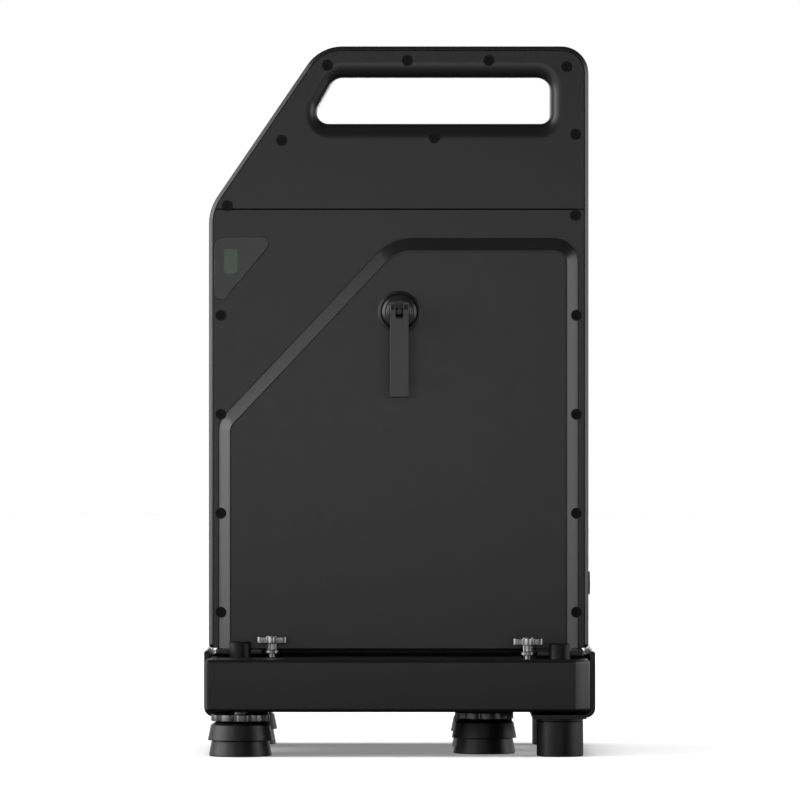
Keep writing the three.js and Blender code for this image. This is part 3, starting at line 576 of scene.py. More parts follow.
# %% Frame with its rounded rim
rim_round = 2.7
seat_clearance = 0.3
chamber_wall, slot_wall = 8, 7
web_left, web_right = -5.0, 1.0
collar_depth = 12.5
boss_end = 0.9
socket_z, socket_radius = 130, 7.3
shell = prism_xz(casing_corners(casing_bottom), -left_face, right_face, 14)
for face_y in (-left_face, right_face):
    bevel(shell, sharp(edges_at(shell, Y, face_y)), rim_round, 1)
seat_corners = inset_corners(casing_corners(casing_bottom - rim_width), rim_width)
seat_depth = cover_thickness + seat_clearance
for y0, y1 in ((-beyond, -left_face + seat_depth), (right_face - seat_depth, beyond)):
    shell = boolean(shell, prism_xz(seat_corners, y0, y1, 12))
chamber_corners = inset_corners(casing_corners(casing_bottom), chamber_wall)
for y0, y1 in ((-beyond, web_left), (web_right, beyond)):
    around_slot = prism_xz(inset_corners(slot_corners, -slot_wall), y0 - slot_wall, y1 + slot_wall)
    shell = boolean(shell, boolean(prism_xz(chamber_corners, y0, y1, 6), around_slot))
shell = boolean(shell, prism_xz(frame_slot_corners, -beyond_handle, beyond_handle, 10))
collar_corners = inset_corners(slot_corners, -collar_depth)
collar_seat = inset_corners(collar_corners, -seat_clearance)
collar_seat_depth = collar_depth + seat_clearance
for y0, y1 in ((-beyond, -left_face + collar_seat_depth), (right_face - collar_seat_depth, beyond)):
    shell = boolean(shell, prism_xz(collar_seat, y0, y1, 10))
for radius, start, z in ((22, -28, axle_z), (19, -18, flywheel_z)):
    shell = boolean(shell, rod(radius, start, boss_end, ALONG_Y, (0, 0, z)), operation="UNION")
for radius, z in ((8.8, axle_z), (14.3, flywheel_z)):
    shell = boolean(shell, rod(radius, -beyond, beyond, ALONG_Y, (0, 0, z)))
shell = boolean(shell, rod(socket_radius, casing_half - 20, casing_half + 20, ALONG_X, (0, 0, socket_z)))
piece("frame_shell", shell, rim_coat, "frame", ["main_frame"])

# %% [markdown]
# ## Upper covers
# Each cover is a flat casting with counterbored socket screws. The upper pair rolls into the handle
# slot, so that a hand finds no edge. The roll is deeper above and below than at the ends. One bevel
# can't be both, so the cover is squeezed in height, bevelled around the slot, and stretched again.

# %% Counterbores
screw_shares = [(-0.38, 0.9686), (0.043, 0.9766), (0.474, 0.9766), (0.885, 0.9665), (-0.621, 0.8435),
                (0.186, 0.848), (0.932, 0.8538), (-0.908, 0.7350), (0.932, 0.7188)]
screw_shares += [(side, 0.5529 - 0.1645 * i) for side in (-0.943, 0.936) for i in range(4)]
screw_places = [(x * casing_half, casing_bottom + z * (casing_top - casing_bottom)) for x, z in screw_shares]
counterbore_radius = 4.4
screw_depth = 4.4
drill_past_face = 9
past_seam = 6


def counterbores(side, face, inside):
    """All counterbores of one side's covers that pass a test, as one cutting shape."""
    floor_y, open_y = side * (face - screw_depth), side * (face + drill_past_face)
    drills = [rod(counterbore_radius, floor_y, open_y, ALONG_Y, (x, 0, z), 20)
              for x, z in screw_places if inside(z)]
    return join(*drills)


print("screws on each side", len(screw_places))

# %% Upper covers with the rolled slot edge
slot_roll, slot_roll_upright = 8.8, 12.0
squeeze = slot_roll / slot_roll_upright
cover_edge = 0.3
cover_back_wall, collar_overrun = 9, 4
sides = (("left", LEFT, left_face, slot_corners), ("right", RIGHT, right_face, frame_slot_corners))
for name, side, face, opening in sides:
    front, collar_foot = side * face, side * (face - collar_depth)
    upper = trimmed(prism_xz(cover_corners, collar_foot, front, 14), seam_z + gap, None)
    upper = boolean(upper, prism_xz(opening, -beyond_handle, beyond_handle, 12))
    bmesh.ops.scale(upper, vec=(1, 1, squeeze), verts=upper.verts)
    slot_edges = [e for e in sharp(edges_at(upper, Y, front))
                  if all(-90 < v.co.x / MM < 125 and 480 < v.co.z / MM / squeeze < 530 for v in e.verts)]
    bevel(upper, slot_edges, slot_roll, 12, clamp=False)
    bmesh.ops.scale(upper, vec=(1, 1, 1 / squeeze), verts=upper.verts)
    behind = prism_xz(inset_corners(cover_corners, -cover_back_wall), collar_foot - side * collar_overrun,
                      side * (face - cover_thickness), 6)
    behind = boolean(behind, prism_xz(collar_corners, -beyond, beyond, 10))
    upper = boolean(upper, behind)
    bevel(upper, sharp(edges_at(upper, Y, front)), cover_edge, 2)
    upper = boolean(upper, counterbores(side, face, lambda z: z > seam_z - past_seam))
    piece(f"{name}_upper_cover", upper, cover_coat, "frame", [f"{name}_cover_upper"])

# %% [markdown]
# ## Lower covers
# The left one carries a raised panel over the belt, with a wide chamfer and a thin line let in at
# its foot and along its face. The chamfer is a little wider at the top than at the sides, so the
# panel is squeezed for its bevel like the slot. The right cover is a flat sheet with a hub hole.

# %% Raised panel
boss_height = 7.5
boss_face = left_face + boss_height
boss_slope, boss_slope_top = 8.2, 9.4
boss_corners = [(-139.2, 60.5, 0), (137.9, 60.5, 0), (137.9, 397.2, 18.5), (-5.6, 397.2, 37),
                (-139.2, 255.8, 20)]
boss_root = -26
line_insets = ((0.4, 0), (0.15, -1.0), (0.75, 0), (0.15, 1.0))


def raised_panel():
    """A chamfered prism. Steps of (width, depth) inwards from its edge let in the thin line."""
    stretch = boss_height / boss_slope
    squeeze = boss_slope / boss_slope_top
    far = -boss_face / stretch
    panel = prism_xz(boss_corners, boss_root / stretch, far, 12)
    bmesh.ops.scale(panel, vec=(1, 1, squeeze), verts=panel.verts)
    bevel(panel, sharp(edges_at(panel, Y, far)), boss_slope, 1)
    bmesh.ops.scale(panel, vec=(1, stretch, 1 / squeeze), verts=panel.verts)
    top = [f for f in panel.faces if all(abs(v.co.y / MM + boss_face) < 2 * close for v in f.verts)]
    for width, depth in line_insets:
        bmesh.ops.inset_region(panel, faces=top, use_even_offset=True, thickness=width * MM,
                               depth=depth * MM)
    return trimmed(panel, casing_bottom, None)


print("the panel stands", boss_height, "mm proud")

# %% Left lower cover
line_inset, line_depth = 0.9, 2.0
panel_wall = 3
cap_hole = 13.9
window_sink, window_rest = 0.3, 1.7
window_corners = [(-143.2, 340.2, 5.3), (-95, 398.4, 5.3), (-143.2, 398.4, 8.5)]
pane_gap = 0.1
guide_corners = [(-135.6, 369.8, 3.5), (-125.2, 369.8, 4), (-125.2, 388.9, 1.2), (-135.6, 388.9, 1.2)]
guide_gap = 0.2


def lower_sheet(side, face):
    """A flat cover below the seam with a finely broken edge."""
    front = side * face
    sheet = prism_xz(cover_corners, side * (face - cover_thickness), front, 14)
    sheet = trimmed(sheet, casing_bottom, seam_z - gap)
    bevel(sheet, sharp(edges_at(sheet, Y, front)), cover_edge, 2)
    return sheet


line = prism_xz(inset_corners(boss_corners, -line_inset), -beyond_panel, -left_face + line_depth, 12)
left_lower = boolean(lower_sheet(LEFT, left_face), line)
left_lower = boolean(left_lower, raised_panel(), operation="UNION")
hollow = prism_xz(inset_corners(boss_corners, boss_slope + panel_wall), -10, -boss_face + panel_wall, 8)
hollow = trimmed(hollow, casing_bottom + chamber_wall, None)
cap_well = rod(cap_hole, -beyond, web_left, ALONG_Y, axle, 64)
seat_y = -left_face + window_sink + window_rest
seat = prism_xz(inset_corners(window_corners, -pane_gap), -beyond_panel, seat_y, 8)
guide_hole = prism_xz(inset_corners(guide_corners, -guide_gap), -beyond_panel, -20, 6)
left_bores = counterbores(LEFT, left_face, lambda z: z < seam_z + past_seam)
left_lower = boolean(left_lower, hollow, cap_well, seat, guide_hole, left_bores)
piece("left_lower_cover", left_lower, cover_coat, "frame", ["left_cover_lower"])

# %% Right lower cover
hub_hole, hub_hole_start = 25.0, 5
hub_well = rod(hub_hole, hub_hole_start, beyond, ALONG_Y, axle, 64)
right_bores = counterbores(RIGHT, right_face, lambda z: z < seam_z + past_seam)
right_lower = boolean(lower_sheet(RIGHT, right_face), hub_well, right_bores)
piece("right_lower_cover", right_lower, cover_coat, "frame", ["right_cover_lower"])

# %% [markdown]
# ## Cover screws
# Black oxide cap screws sink into the counterbores. In the picture each is a dark spot with a fainter
# hexagon. A ring between a circle and a hexagon is enough: its outer loop is pulled down to the
# floor of the counterbore, and its inner loop a little way into the head.

# %% Screws in the counterbores
head_radius, hexagon_radius = 3.8, 2.2
socket_depth = 1.6
head_sink = 1.7
floor_gap = 0.05


def hex_screw(x, z, side, face):
    """A socket head cap screw, closed below by its foot and inside by the floor of its socket."""
    bm = bmesh.new()
    rim = bmesh.ops.create_circle(bm, radius=head_radius * MM, segments=24)["verts"]
    socket = bmesh.ops.create_circle(bm, radius=hexagon_radius * MM, segments=6)["verts"]
    loops = [[e for e in bm.edges if e.verts[0] in verts] for verts in (rim, socket)]
    bmesh.ops.bridge_loops(bm, edges=bm.edges[:])
    for edges, depth in ((loops[0], screw_depth - head_sink - floor_gap), (loops[1], socket_depth)):
        made = bmesh.ops.extrude_edge_only(bm, edges=edges)["geom"]
        lowered = verts_of(made)
        bmesh.ops.translate(bm, vec=(0, 0, -depth * MM), verts=lowered)
        bmesh.ops.edgeloop_fill(bm, edges=[e for e in edges_of(made) if all(v in lowered for v in e.verts)])
    facing = Matrix.Rotation(math.radians(-90 * side), 3, "X")
    bmesh.ops.rotate(bm, cent=(0, 0, 0), matrix=facing, verts=bm.verts)
    bmesh.ops.translate(bm, vec=Vector((x, side * (face - head_sink), z)) * MM, verts=bm.verts)
    bmesh.ops.recalc_face_normals(bm, faces=bm.faces)
    return bm


for name, side, face, _ in sides:
    screws = join(*[hex_screw(x, z, side, face) for x, z in screw_places])
    piece(f"{name}_cover_screws", screws, screw_black, "frame")

# %% [markdown]
# ## Status window
# A pane of smoked polycarbonate stands a hair proud of the cover, and its chamfered edge catches
# the light. Behind it a light guide of green plastic stands on the circuit board and fills a hole in
# the cover. It is no lamp, and its faint glow is painted light. The pane is part glossy and part
# clear, so that this painted glow comes through weakly.

# %% Pane
pane_share = 0.62
pane_depth, pane_edge, pane_proud = 1.8, 0.35, 0.2
smoked_pane = finish("smoked_polycarbonate", "#343434", "#393939", (0.3, 0.36), patch=(18, 4, 0.6),
                     grain=(0.6, 2, 0.5), wear=(18, 4, 0.6), depth=0.005, Specular_IOR_Level=0.5)
pane_nodes = smoked_pane.node_tree.nodes
clear = node(smoked_pane, "BsdfTransparent", {"Color": srgb("#eff1ef")})
pane_mix = node(smoked_pane, "MixShader", {0: pane_share}, {1: clear, 2: pane_nodes["Principled BSDF"]})
smoked_pane.node_tree.links.new(pane_mix.outputs[0], pane_nodes["Material Output"].inputs["Surface"])
pane_face = -left_face - pane_proud
pane = prism_xz(inset_corners(window_corners, pane_gap), pane_face + pane_depth, pane_face, 8)
bevel(pane, sharp(edges_at(pane, Y, pane_face)), pane_edge, 1)
piece("smoked_window", pane, smoked_pane, "frame", ["status_window"])

# %% Board and light guide
# Real tracks are finer. These are about three millimetres long, so that they show.
track_mm, brick_width = 3.125, 0.5
solder_mask = new_material("green_solder_mask")
mask_place = node(solder_mask, "TexCoord").outputs["Object"]
tracks = node(solder_mask, "TexBrick",
              {"Scale": brick_width / (track_mm * MM), "Color1": srgb("#74c8a2"), "Color2": srgb("#80d4ac"),
               "Mortar": srgb("#4f9f7c"), "Mortar Size": 0.05}, {"Vector": mask_place})
mask_shader = node(solder_mask, "BsdfPrincipled", {"Roughness": 0.35}, {"Base Color": tracks})
node(solder_mask, "OutputMaterial", {}, {"Surface": mask_shader})
# Painted light: the guide glows faintly green by its emission, though it is no lamp.
light_guide = finish("green_light_guide_painted_glow", "#9cc79f", "#a8d3ab", 0.4, patch=(6, 3, 0.5),
                     Emission_Color=srgb("#c0fac4"), Emission_Strength=0.23)

board_back, board_front = -28.1, -29.7
board_corners = [(-136.6, 367.5, 1), (-123.4, 367.5, 1), (-123.4, 390, 1), (-136.6, 390, 1)]
green_board = prism_xz(board_corners, board_back, board_front, 4)
bevel(green_board, sharp(green_board.edges[:]), 0.15, 1)
piece("indicator_circuit_board", green_board, solder_mask, "frame", ["indicator_board"])
guide_face = -left_face + window_sink + 1.9
guide = prism_xz(guide_corners, board_front, guide_face, 6)
bevel(guide, sharp(edges_at(guide, Y, guide_face)), 0.3, 1)
piece("window_light_guide", guide, light_guide, "frame")

# %% [markdown]
# ## Axle ends
# The bicycle's dropouts rest on a turned cap at each end of the axle. The left cap shows in a
# raised trim ring. Caps and ring are lathe work, so each is one spun profile, with a groove for
# the dropout and a countersunk bore for the rod.

# %% End caps and trim ring
cap_bore, cap_sink = 2.8, 64.2
trim_inner, trim_outer = 13.95, 16.5
left_profile = [(cap_bore, -28.3), (13.2, -28.3), (13.2, -57.3), (12.8, -57.7), (11.3, -58.9), (9.7, -59.1),
                (9.7, -61.4), (10.2, -61.6), (10.2, -64.4), (9.6, -65), (5.2, -65), (4.6, -cap_sink),
                (cap_bore, -cap_sink)]
right_profile = [(cap_bore, 55.9), (12.3, 55.9), (12.6, 56.2), (12.6, 58.6), (12.0, 59), (10.4, 59),
                 (10.4, 64.4), (9.8, 65), (5.2, 65), (4.6, cap_sink), (cap_bore, cap_sink)]
ring_profile = [(trim_inner, 1), (trim_outer, 1), (trim_outer, -0.05), (15.8, -0.5), (14.4, -0.8),
                (trim_inner, -0.6)]
ring_profile = [(r, t - boss_face) for r, t in ring_profile]
left_cap = turned(left_profile, ALONG_Y, axle, 72)
piece("left_end_cap", left_cap, black_cap, "frame", ["axle_end_cap_left"], 24)
ring = turned(ring_profile, ALONG_Y, axle, 72)
piece("axle_trim_ring", ring, cover_coat, "frame", smooth=24)
right_cap = turned(right_profile, ALONG_Y, axle, 64)
piece("right_end_cap", right_cap, black_cap, "frame", ["axle_end_cap_right"], 24)

# %% [markdown]
# ## Quick release
# A thin steel rod runs through the hollow axle. A lever turns a cam on an eye at its left end and
# pulls the nut at its right end tight. The rod's parts are pressed together, so they are joined as
# they are. The lever is a flat forged bar, and its fork is cut from one block, so that both cheeks
# are alike.

# %% Rod with its barrel, eye and bolt
pivot_y = -86.4
rod_profile = [(0, -80), (2.45, -80), (2.45, 86), (1.9, 86.6), (0, 86.6)]
barrel_profile = [(0, -79), (8.4, -79), (9, -78.4), (9, -76.6), (8.6, -76.3), (8.6, -75.9), (9, -75.6),
                  (9, -73.4), (8.6, -73), (0, -73)]
eye_profile = [(0, -2.5), (3.7, -2.5), (4, -2.2), (4, 2.2), (3.7, 2.5), (0, 2.5)]
bolt_profile = [(0, -5.6), (1.2, -5.6), (1.4, -5.9), (2.2, -5.9), (2.6, -5.5), (2.6, -3), (0, -3)]
skewer = turned(rod_profile, ALONG_Y, axle, 24)
barrel = turned(barrel_profile, ALONG_Y, axle)
neck = block((-2.4, 2.4), (pivot_y, -78.6), (axle_z - 3.4, axle_z + 3.4), 0.4, 2)
eye = turned(eye_profile, ALONG_X, (0, pivot_y, axle_z), 32)
bolt = turned([(r, pivot_y + t) for r, t in bolt_profile], ALONG_Y, axle, 24)
bar = block((-2.75, 2.75), (pivot_y - 4.6, pivot_y - 1.5), (axle_z + 2.7, axle_z + 4.0), 0.2, 2)
piece("release_rod_with_eye", join(skewer, barrel, neck, eye, bolt, bar), black_cap, "release_rod",
      ["release_rod"], 28)

# %% Lever with forked cam
lever_half, lever_front, lever_back, lever_foot = 7.15, -93.4, -87.4, 274.0
cam_radius, cam_edge = 7.0, 0.4
fork_half, fork_floor, fork_round = 2.9, 5.6, 1.6
pocket_near, pocket_far, pocket_low, pocket_high = 3.5, 6.6, 1.4, 5.6
step_z, groove_half, groove_depth = axle_z - 2.7, 0.4, 1.2
blade = block((-lever_half, lever_half), (lever_front, lever_back), (lever_foot, axle_z))
low_front = edges_where(blade, lambda p: p.z < lever_foot + close and p.y < lever_front + close)
bevel(blade, low_front, 1.1, 2)
cheeks = edges_where(blade, lambda p: abs(abs(p.x) - lever_half) < close)
bevel(blade, sharp(cheeks, 40), 0.45, 2)
cam_profile = [(0, -lever_half), (cam_radius - cam_edge, -lever_half), (cam_radius, cam_edge - lever_half)]
cam_profile += [(r, -t) for r, t in reversed(cam_profile)]
cam = turned(cam_profile, ALONG_X, (0, pivot_y, axle_z), 56)
lever = boolean(blade, cam, operation="UNION")
fork = block((-fork_half, fork_half), (lever_front - 6.6, lever_back + 17.4),
             (axle_z - fork_floor, axle_z + 20))
bevel(fork, [e for e in edges_along(fork, Y) if e.verts[0].co.z / MM < axle_z], fork_round, 4)
lever = boolean(lever, fork)
for side in (LEFT, RIGHT):
    pocket = block((side * pocket_near, side * pocket_far), (lever_front - 2.6, lever_front + 18),
                   (axle_z + pocket_low, axle_z + pocket_high), 0.3, 2)
    groove = block((side * 2, side * 8), (lever_front - 1.6, lever_front + groove_depth),
                   (step_z - groove_half, step_z + groove_half))
    lever = boolean(lever, pocket, groove)
piece("quick_release_lever", lever, lever_paint, "release_lever", ["release_lever"], 28)

# %% Nut on the drive side
nut_start, nut_end, nut_radius, nut_bore, bore_end = 73, 87, 9, 2.8, 82


def lobed(steps, radius, lobes, depth, sharpness, centre, z0, z1, edge, turn=0.0):
    """A knob or ring seen from above, with scallops let into its rim, standing between two heights."""
    bm = bmesh.new()
    bmesh.ops.create_circle(bm, cap_ends=True, radius=radius * MM, segments=lobes * steps)
    for vert in bm.verts:
        angle = math.atan2(vert.co.y, vert.co.x) + turn
        cut = depth * (0.5 - 0.5 * math.cos(lobes * angle)) ** sharpness
        vert.co *= (radius - cut) / radius
    bmesh.ops.translate(bm, vec=Vector((centre[0], centre[1], z0)) * MM, verts=bm.verts)
    extrude(bm, bm.faces[:], (0, 0, z1 - z0))
    if edge:
        bevel(bm, sharp(bm.edges[:]), edge, 2)
    return bm


def laid_on_axle(bm):
    """Turns a shape that stands upright to lie along the axle."""
    bmesh.ops.rotate(bm, cent=(0, 0, 0), matrix=Matrix.Rotation(math.radians(-90), 3, "X"), verts=bm.verts)
    bmesh.ops.translate(bm, vec=Vector(axle) * MM, verts=bm.verts)
    return bm


nut = laid_on_axle(lobed(8, nut_radius, 12, 0.7, 2, (0, 0), nut_start, nut_end, 0.6))
nut = boolean(nut, rod(nut_bore, nut_start - 3, bore_end, ALONG_Y, axle, 24))
piece("quick_release_nut", nut, knob_metal, "release_nut", ["release_nut"], 28)

# %% [markdown]
# ## Cassette
# Eleven stamped sprockets and their spacers slide onto the freehub, and a notched lockring holds
# them. A tooth could be drawn and copied around, but a circle whose radius swings between root and
# tip gives a sprocket in one go. They only show from behind and from above.

# %% Sprockets and spacers
chain_pitch = 12.7
sprocket_teeth = [28, 25, 23, 21, 19, 17, 15, 14, 13, 12, 11]
sprocket_start, sprocket_step, sprocket_thickness = 24.6, 3.35, 1.6
sprocket_bore, spacer_radius = 17.5, 20
tooth_reach, tooth_narrowing, tooth_steps = 2.4, 0.6, 8


def sprocket(teeth, y):
    """A ring whose rim swings between root and tip once a tooth."""
    pitch_radius = chain_pitch / (2 * math.sin(math.pi / teeth))
    steps = teeth * tooth_steps
    bm = bmesh.new()
    bmesh.ops.create_circle(bm, cap_ends=False, radius=pitch_radius * MM, segments=steps)
    for vert in bm.verts:
        wave = math.cos(teeth * math.atan2(vert.co.y, vert.co.x))
        reach = tooth_reach * wave - tooth_narrowing * (1 - abs(wave))
        vert.co *= (pitch_radius + reach) / pitch_radius
    bmesh.ops.create_circle(bm, cap_ends=False, radius=sprocket_bore * MM, segments=steps)
    bmesh.ops.bridge_loops(bm, edges=bm.edges[:])
    laid_on_axle(bm)
    bmesh.ops.translate(bm, vec=(0, y * MM, 0), verts=bm.verts)
    extrude(bm, bm.faces[:], (0, sprocket_thickness, 0))
    return bm


stack = []
for i, teeth in enumerate(sprocket_teeth):
    y = sprocket_start + i * sprocket_step
    stack.append(sprocket(teeth, y))
    if teeth != sprocket_teeth[-1]:
        start, end = y + sprocket_thickness, y + sprocket_step
        stack.append(turned([(sprocket_bore, start), (spacer_radius, start), (spacer_radius, end),
                             (sprocket_bore, end)], ALONG_Y, axle))
piece("toothed_cassette", join(*stack), nickel_steel, "freehub", ["cassette"], 28)

# %% Lockring
lock_bore, lock_radius, lock_notches = 13.6, 19, 12
notch_radius, notch_circle = 1.3, 13.9
lock_start = y + sprocket_thickness + 0.3
lock_profile = [(lock_bore, 0), (lock_radius - 0.6, 0), (lock_radius, 0.6), (lock_radius, 1.6),
                (lock_radius - 0.8, 2.3), (lock_bore, 2.3)]
lock = turned([(r, lock_start + t) for r, t in lock_profile], ALONG_Y, axle, 72)
notches = []
for i in range(lock_notches):
    angle = 2 * math.pi * i / lock_notches
    centre = (notch_circle * math.cos(angle), 0, axle_z + notch_circle * math.sin(angle))
    notches.append(rod(notch_radius, lock_start - 2, lock_start + 5, ALONG_Y, centre, 12))
lock = boolean(lock, join(*notches))
piece("notched_lockring", lock, hard_anodised, "freehub", ["lockring"], 28)

# %% [markdown]
# ## Base
# Two bent steel brackets carry posts and leg pivots, and a strap ties each pair of pivots over the
# legs. A box section joins the brackets and carries the casing on a rubber pad. Bent plate has a
# round outer corner and broken edges, so each bracket is an L outline drawn out sideways.

# %% Brackets
bracket_half, wall_inner, bracket_top = 150.0, 146.0, 79.6
plate_bottom, plate_top, plate_inner, plate_round = 29.0, 32.0, 101.0, 8
bend_outer, bend_inner, bracket_edge = 7.5, 3.4, 0.4
pivot_x = 122.8
leg_y = {"rear": 99.0, "front": 56.2}
end_of = {"rear": 1, "front": -1}
bracket_reach = {"rear": 119.0, "front": 75.7}
rear_wall_half = 94.0
for end in ("rear", "front"):
    side, half = end_of[end], bracket_reach[end]
    corners = [(plate_inner, plate_bottom, 0), (bracket_half, plate_bottom, bend_outer),
               (bracket_half, bracket_top, 0), (wall_inner, bracket_top, 0),
               (wall_inner, plate_top, bend_inner), (plate_inner, plate_top, 0)]
    if end == "front":
        corners = [(-x, z, r) for x, z, r in reversed(corners)]
    bracket = prism_xz(corners, -half, half)
    free_corner = lambda p: abs(abs(p.x) - plate_inner) < close and abs(abs(p.y) - half) < close
    bevel(bracket, edges_where(bracket, free_corner), plate_round, 8)
    if end == "rear":
        for limit in (LEFT, RIGHT):
            ends = block((bracket_half - bend_outer + 0.1, bracket_half + 3),
                         (limit * rear_wall_half, limit * (half + 5)), (plate_bottom - 3, bracket_top + 5))
            bracket = boolean(bracket, ends)
        half = rear_wall_half
    top_corner = lambda p: abs(p.z - bracket_top) < close and abs(abs(p.y) - half) < close
    bevel(bracket, edges_where(bracket, top_corner), 3, 6)
    bevel(bracket, sharp(bracket.edges[:], 50), bracket_edge, 2)
    piece(f"{end}_bent_bracket", bracket, bracket_coat, "frame", [f"{end}_bracket"])

# %% Straps, spine and pad
strap_half, strap_bottom, strap_top, strap_past_bolt = 18.6, 76.4, 80.2, 1
strap_round, strap_edge, shoulder_hole = 3, 0.5, 8.7
for end in ("rear", "front"):
    reach = leg_y[end] + strap_past_bolt
    middle = end_of[end] * pivot_x
    strap = block((middle - strap_half, middle + strap_half), (-reach, reach), (strap_bottom, strap_top))
    bevel(strap, edges_along(strap, Z), strap_round, 6)
    bevel(strap, sharp(strap.edges[:], 50), strap_edge, 2)
    for y in (-leg_y[end], leg_y[end]):
        strap = boolean(strap, rod(shoulder_hole, strap_bottom - 6.4, strap_top + 9.8, UP, (middle, y, 0)))
    piece(f"{end}_tie_strap", strap, bracket_coat, "frame", [f"{end}_strap"])

spine_half, spine_side, spine_top = 145.7, 33, 76.1
spine = block((-spine_half, spine_half), (-spine_side, spine_side), (plate_top - 0.2, spine_top), 3)
piece("box_spine", spine, bracket_coat, "frame", ["base_spine"])
seat_pad = block((-103.5, 103.5), (-27, 21), (spine_top - 0.2, casing_bottom - 0.15), 0.4, 1)
piece("casing_seat_pad", seat_pad, belt_rubber, "frame")

# %% [markdown]
# ## Legs
# Four square tubes fold out about bolts in the base's corners. A square heel would foul the bracket
# as it swings, so each is an arc about its bolt: a turned disc, cut to the tube's width and joined
# to it. The front legs lie inside the rear ones and are shorter.

# %% Leg tubes and plugs
leg_half, leg_bottom, leg_top = 20.0, 34.2, 74.2
leg_round, heel_radius = 2.8, 23.1
leg_reach = {"rear": 271.0, "front": 214.8}
tip_length, tip_gap, tip_dome = 3.0, 0.05, 2.2
base_corners = [(end, f"{end}_{name}", end_of[end] * pivot_x, side * leg_y[end])
                for end in ("rear", "front") for name, side in (("left", LEFT), ("right", RIGHT))]


def leg_tube(end, x, y):
    """A square tube with a closed round heel about the pivot."""
    free_end = x - end_of[end] * (leg_reach[end] - tip_length - tip_gap)
    tube = block((x, free_end), (y - leg_half, y + leg_half), (leg_bottom, leg_top))
    heel = rod(heel_radius, leg_bottom, leg_top, UP, (x, y, 0), 96)
    for side in (LEFT, RIGHT):
        sliced(heel, (0, y + side * leg_half, 0), (0, side, 0))
    tube = boolean(tube, heel, operation="UNION")
    bmesh.ops.dissolve_limit(tube, angle_limit=math.radians(0.2), verts=tube.verts, edges=tube.edges)
    open_rim = edges_at(tube, X, free_end)
    bevel(tube, [e for e in sharp(tube.edges[:], 50) if e not in open_rim], leg_round, 5)
    return tube


def leg_tip(end, x, y):
    """The plastic plug in the tube's open end. Only its domed flange shows."""
    end_x = x - end_of[end] * leg_reach[end]
    inner_x = end_x + end_of[end] * tip_length
    tip = block((end_x, inner_x), (y - leg_half, y + leg_half), (leg_bottom, leg_top))
    bevel(tip, edges_along(tip, X), leg_round, 5)
    bevel(tip, sharp(edges_at(tip, X, end_x)), tip_dome, 4)
    return tip


for end, leg, x, y in base_corners:
    body = f"{leg}_leg" if end == "rear" else "frame"
    piece(f"{leg}_square_leg", leg_tube(end, x, y), leg_coat_with_painted_shade, body, [f"{leg}_leg"], 24)
    piece(f"{leg}_plug", leg_tip(end, x, y), black_nylon, body, [f"{leg}_leg_tip"])

# %% [markdown]
# ## Pivot bolts and lock knobs
# A shouldered bolt is each leg's hinge. Beside it a sprung knob with six lobes drops a pin that
# locks the leg, open or folded. Bolt, crown, cuff and pin are turned. Head and stem are circles
# with a wave let into their rim, which gives both the lobes and the ridges of the grip.

# %% Bolts and knobs
bolt_radius, bolt_top, bolt_edge, bore_radius, bore_depth = 8.5, 86.1, 0.9, 4.6, 3.2
knob_inset, knob_under, knob_top, knob_radius, lobe_depth = 24.6, 84.9, 89.9, 12.5, 3.8
crown_radius, crown_edge = 4.6, 0.6
stem_radius, stem_ridge, pin_radius = 3.7, 0.7, 2.45


def pivot_bolt(x, y):
    """A round shouldered bolt with a socket in its head. Its shoulder goes down through the strap."""
    return turned([(0, leg_top + 0.1), (bolt_radius, leg_top + 0.1), (bolt_radius, bolt_top - bolt_edge),
                   (bolt_radius - bolt_edge, bolt_top), (bore_radius, bolt_top),
                   (bore_radius, bolt_top - bore_depth), (0, bolt_top - bore_depth)], UP, (x, y, 0))


def lock_knob(x, y):
    """A six-lobed star knob on a ridged stem, with its cuff and the pin that goes into the leg."""
    head = lobed(12, knob_radius, 6, lobe_depth, 1, (x, y), knob_under, knob_top, 0.6, math.radians(30))
    crown = turned([(0, knob_top - 0.5), (crown_radius, knob_top - 0.5), (crown_radius, knob_top + 0.5),
                    (crown_radius - crown_edge, knob_top + 1), (0, knob_top + 1)], UP, (x, y, 0), 32)
    stem = lobed(8, stem_radius, 8, stem_ridge, 1, (x, y), leg_top + 2.6, knob_under + 0.5, 0)
    cuff_profile = [(0, 2.9), (5, 2.9), (5.4, 3.3), (5.4, 5.2), (4.6, 5.8), (0, 5.8)]
    cuff = turned([(r, leg_top + t) for r, t in cuff_profile], UP, (x, y, 0), 32)
    pin = rod(pin_radius, leg_top - 2, leg_top + 3.2, UP, (x, y, 0), 20)
    return join(head, crown, stem, cuff, pin)


for end, leg, x, y in base_corners:
    piece(f"{leg}_socket_bolt", pivot_bolt(x, y), bolt_steel, "frame", [f"{leg}_pivot_bolt"], 28)
    knob = lock_knob(x - end_of[end] * knob_inset, y)
    piece(f"{leg}_star_knob", knob, knob_metal, f"{leg}_lock_knob", [f"{leg}_lock_knob"], 28)

# %% [markdown]
# ## Feet
# A rubber-sleeved post stands under each pivot and always touches the floor. At the free end of
# each leg a levelling foot hangs on a threaded stud, with a lobed adjuster ring over a stepped
# rubber foot. Posts and feet are spun, and the ring has ten lobes for the fingers.

# %% Posts and levelling feet
post_radius = {"rear": 17.8, "front": 17.2}
post_top, post_edge = 28.7, 0.8
foot_inset = 26.7
foot_profile = [(0, 0.4), (23.4, 0.4), (24.0, 1.0), (22.0, 11.9), (22.0, 12.3), (24.6, 12.3), (24.95, 12.7),
                (22.7, 23.9), (22.1, 24.5), (19.4, 26.1), (0, 26.3)]
ring_radius, ring_bottom, ring_top, ring_lobe = 22.6, 26.9, 31.9, 3.0
stud_radius, stud_bottom, stud_top = 5, 26.5, 60


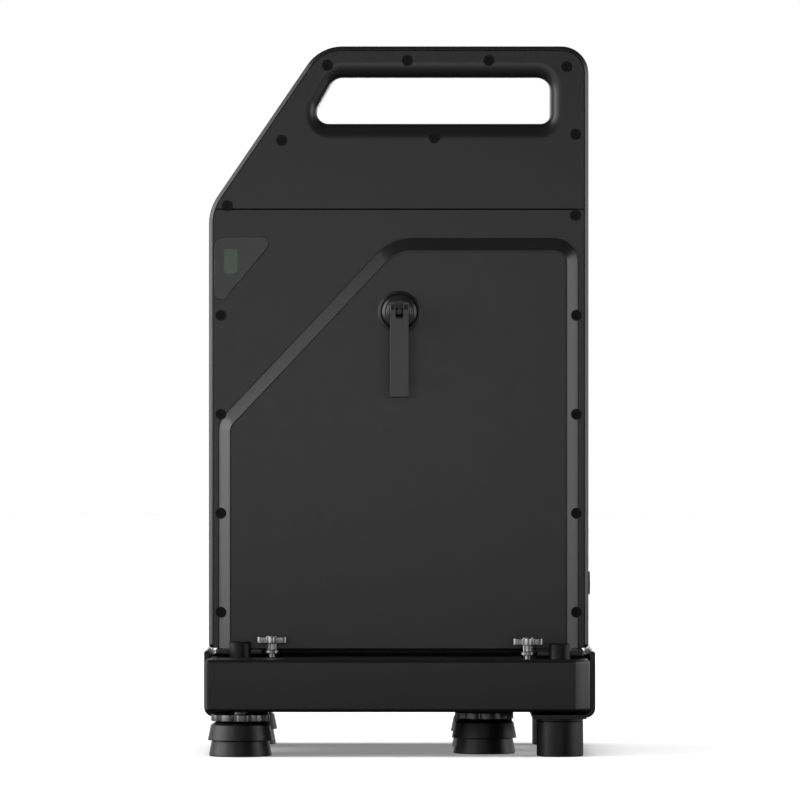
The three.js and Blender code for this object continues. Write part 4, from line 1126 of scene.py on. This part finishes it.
def fixed_post(x, y, radius):
    """A steel post in a rubber sleeve, with a thin lip under the bracket."""
    return turned([(0, 0), (radius - post_edge, 0), (radius, post_edge), (radius, post_top - 2.1),
                   (radius - 0.5, post_top - 1.6), (radius + 0.1, post_top - 1.3), (radius + 0.1, post_top),
                   (0, post_top)], UP, (x, y, 0), 64)


def adjuster_ring(x, y):
    """The lobed ring with the stud that goes up into the leg."""
    ring = lobed(14, ring_radius, 10, ring_lobe, 4, (x, y), ring_bottom, ring_top, 0.5, math.radians(12))
    stud = turned([(0, stud_bottom), (stud_radius, stud_bottom), (stud_radius, stud_top - 0.5),
                   (stud_radius - 0.5, stud_top), (0, stud_top)], UP, (x, y, 0), 24)
    return join(ring, stud)


for end, leg, x, y in base_corners:
    post = fixed_post(x, y, post_radius[end])
    piece(f"{leg}_rubber_post", post, foot_rubber, "frame", [f"{leg}_post"], 28)
    foot_x = x - end_of[end] * (leg_reach[end] - foot_inset)
    foot = turned(foot_profile, UP, (foot_x, y, 0), 72)
    piece(f"{leg}_stepped_foot", foot, foot_rubber, f"{leg}_foot", [f"{leg}_foot"], 28)
    ring = adjuster_ring(foot_x, y)
    piece(f"{leg}_lobed_ring", ring, ring_metal, f"{leg}_foot", [f"{leg}_foot_ring"], 28)

# %% [markdown]
# ## Finishes of the solids that stay as packed
# The drive parts sit inside the casing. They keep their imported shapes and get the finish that
# each would have: turned iron, ground bearing steel, machined aluminium and moulded rubber.

# %% Finishes of the carried-over solids
kept_finishes = {
    "control_board": solder_mask, "power_socket": black_nylon, "axle_tube": machined_aluminium,
    "hub_bearing_inner": ground_steel, "hub_bearing_outer": ground_steel, "drive_pulley": machined_aluminium,
    "freehub_body": hard_anodised, "freehub_bearing": ground_steel, "drive_belt": belt_rubber,
    "flywheel": cast_iron, "flywheel_shaft": ground_steel, "flywheel_bearing": ground_steel,
    "brake_block": lever_paint,
}
for name, material in kept_finishes.items():
    nodes[name].data.materials.clear()
    nodes[name].data.materials.append(material)
print("kept solids", len(kept_finishes))
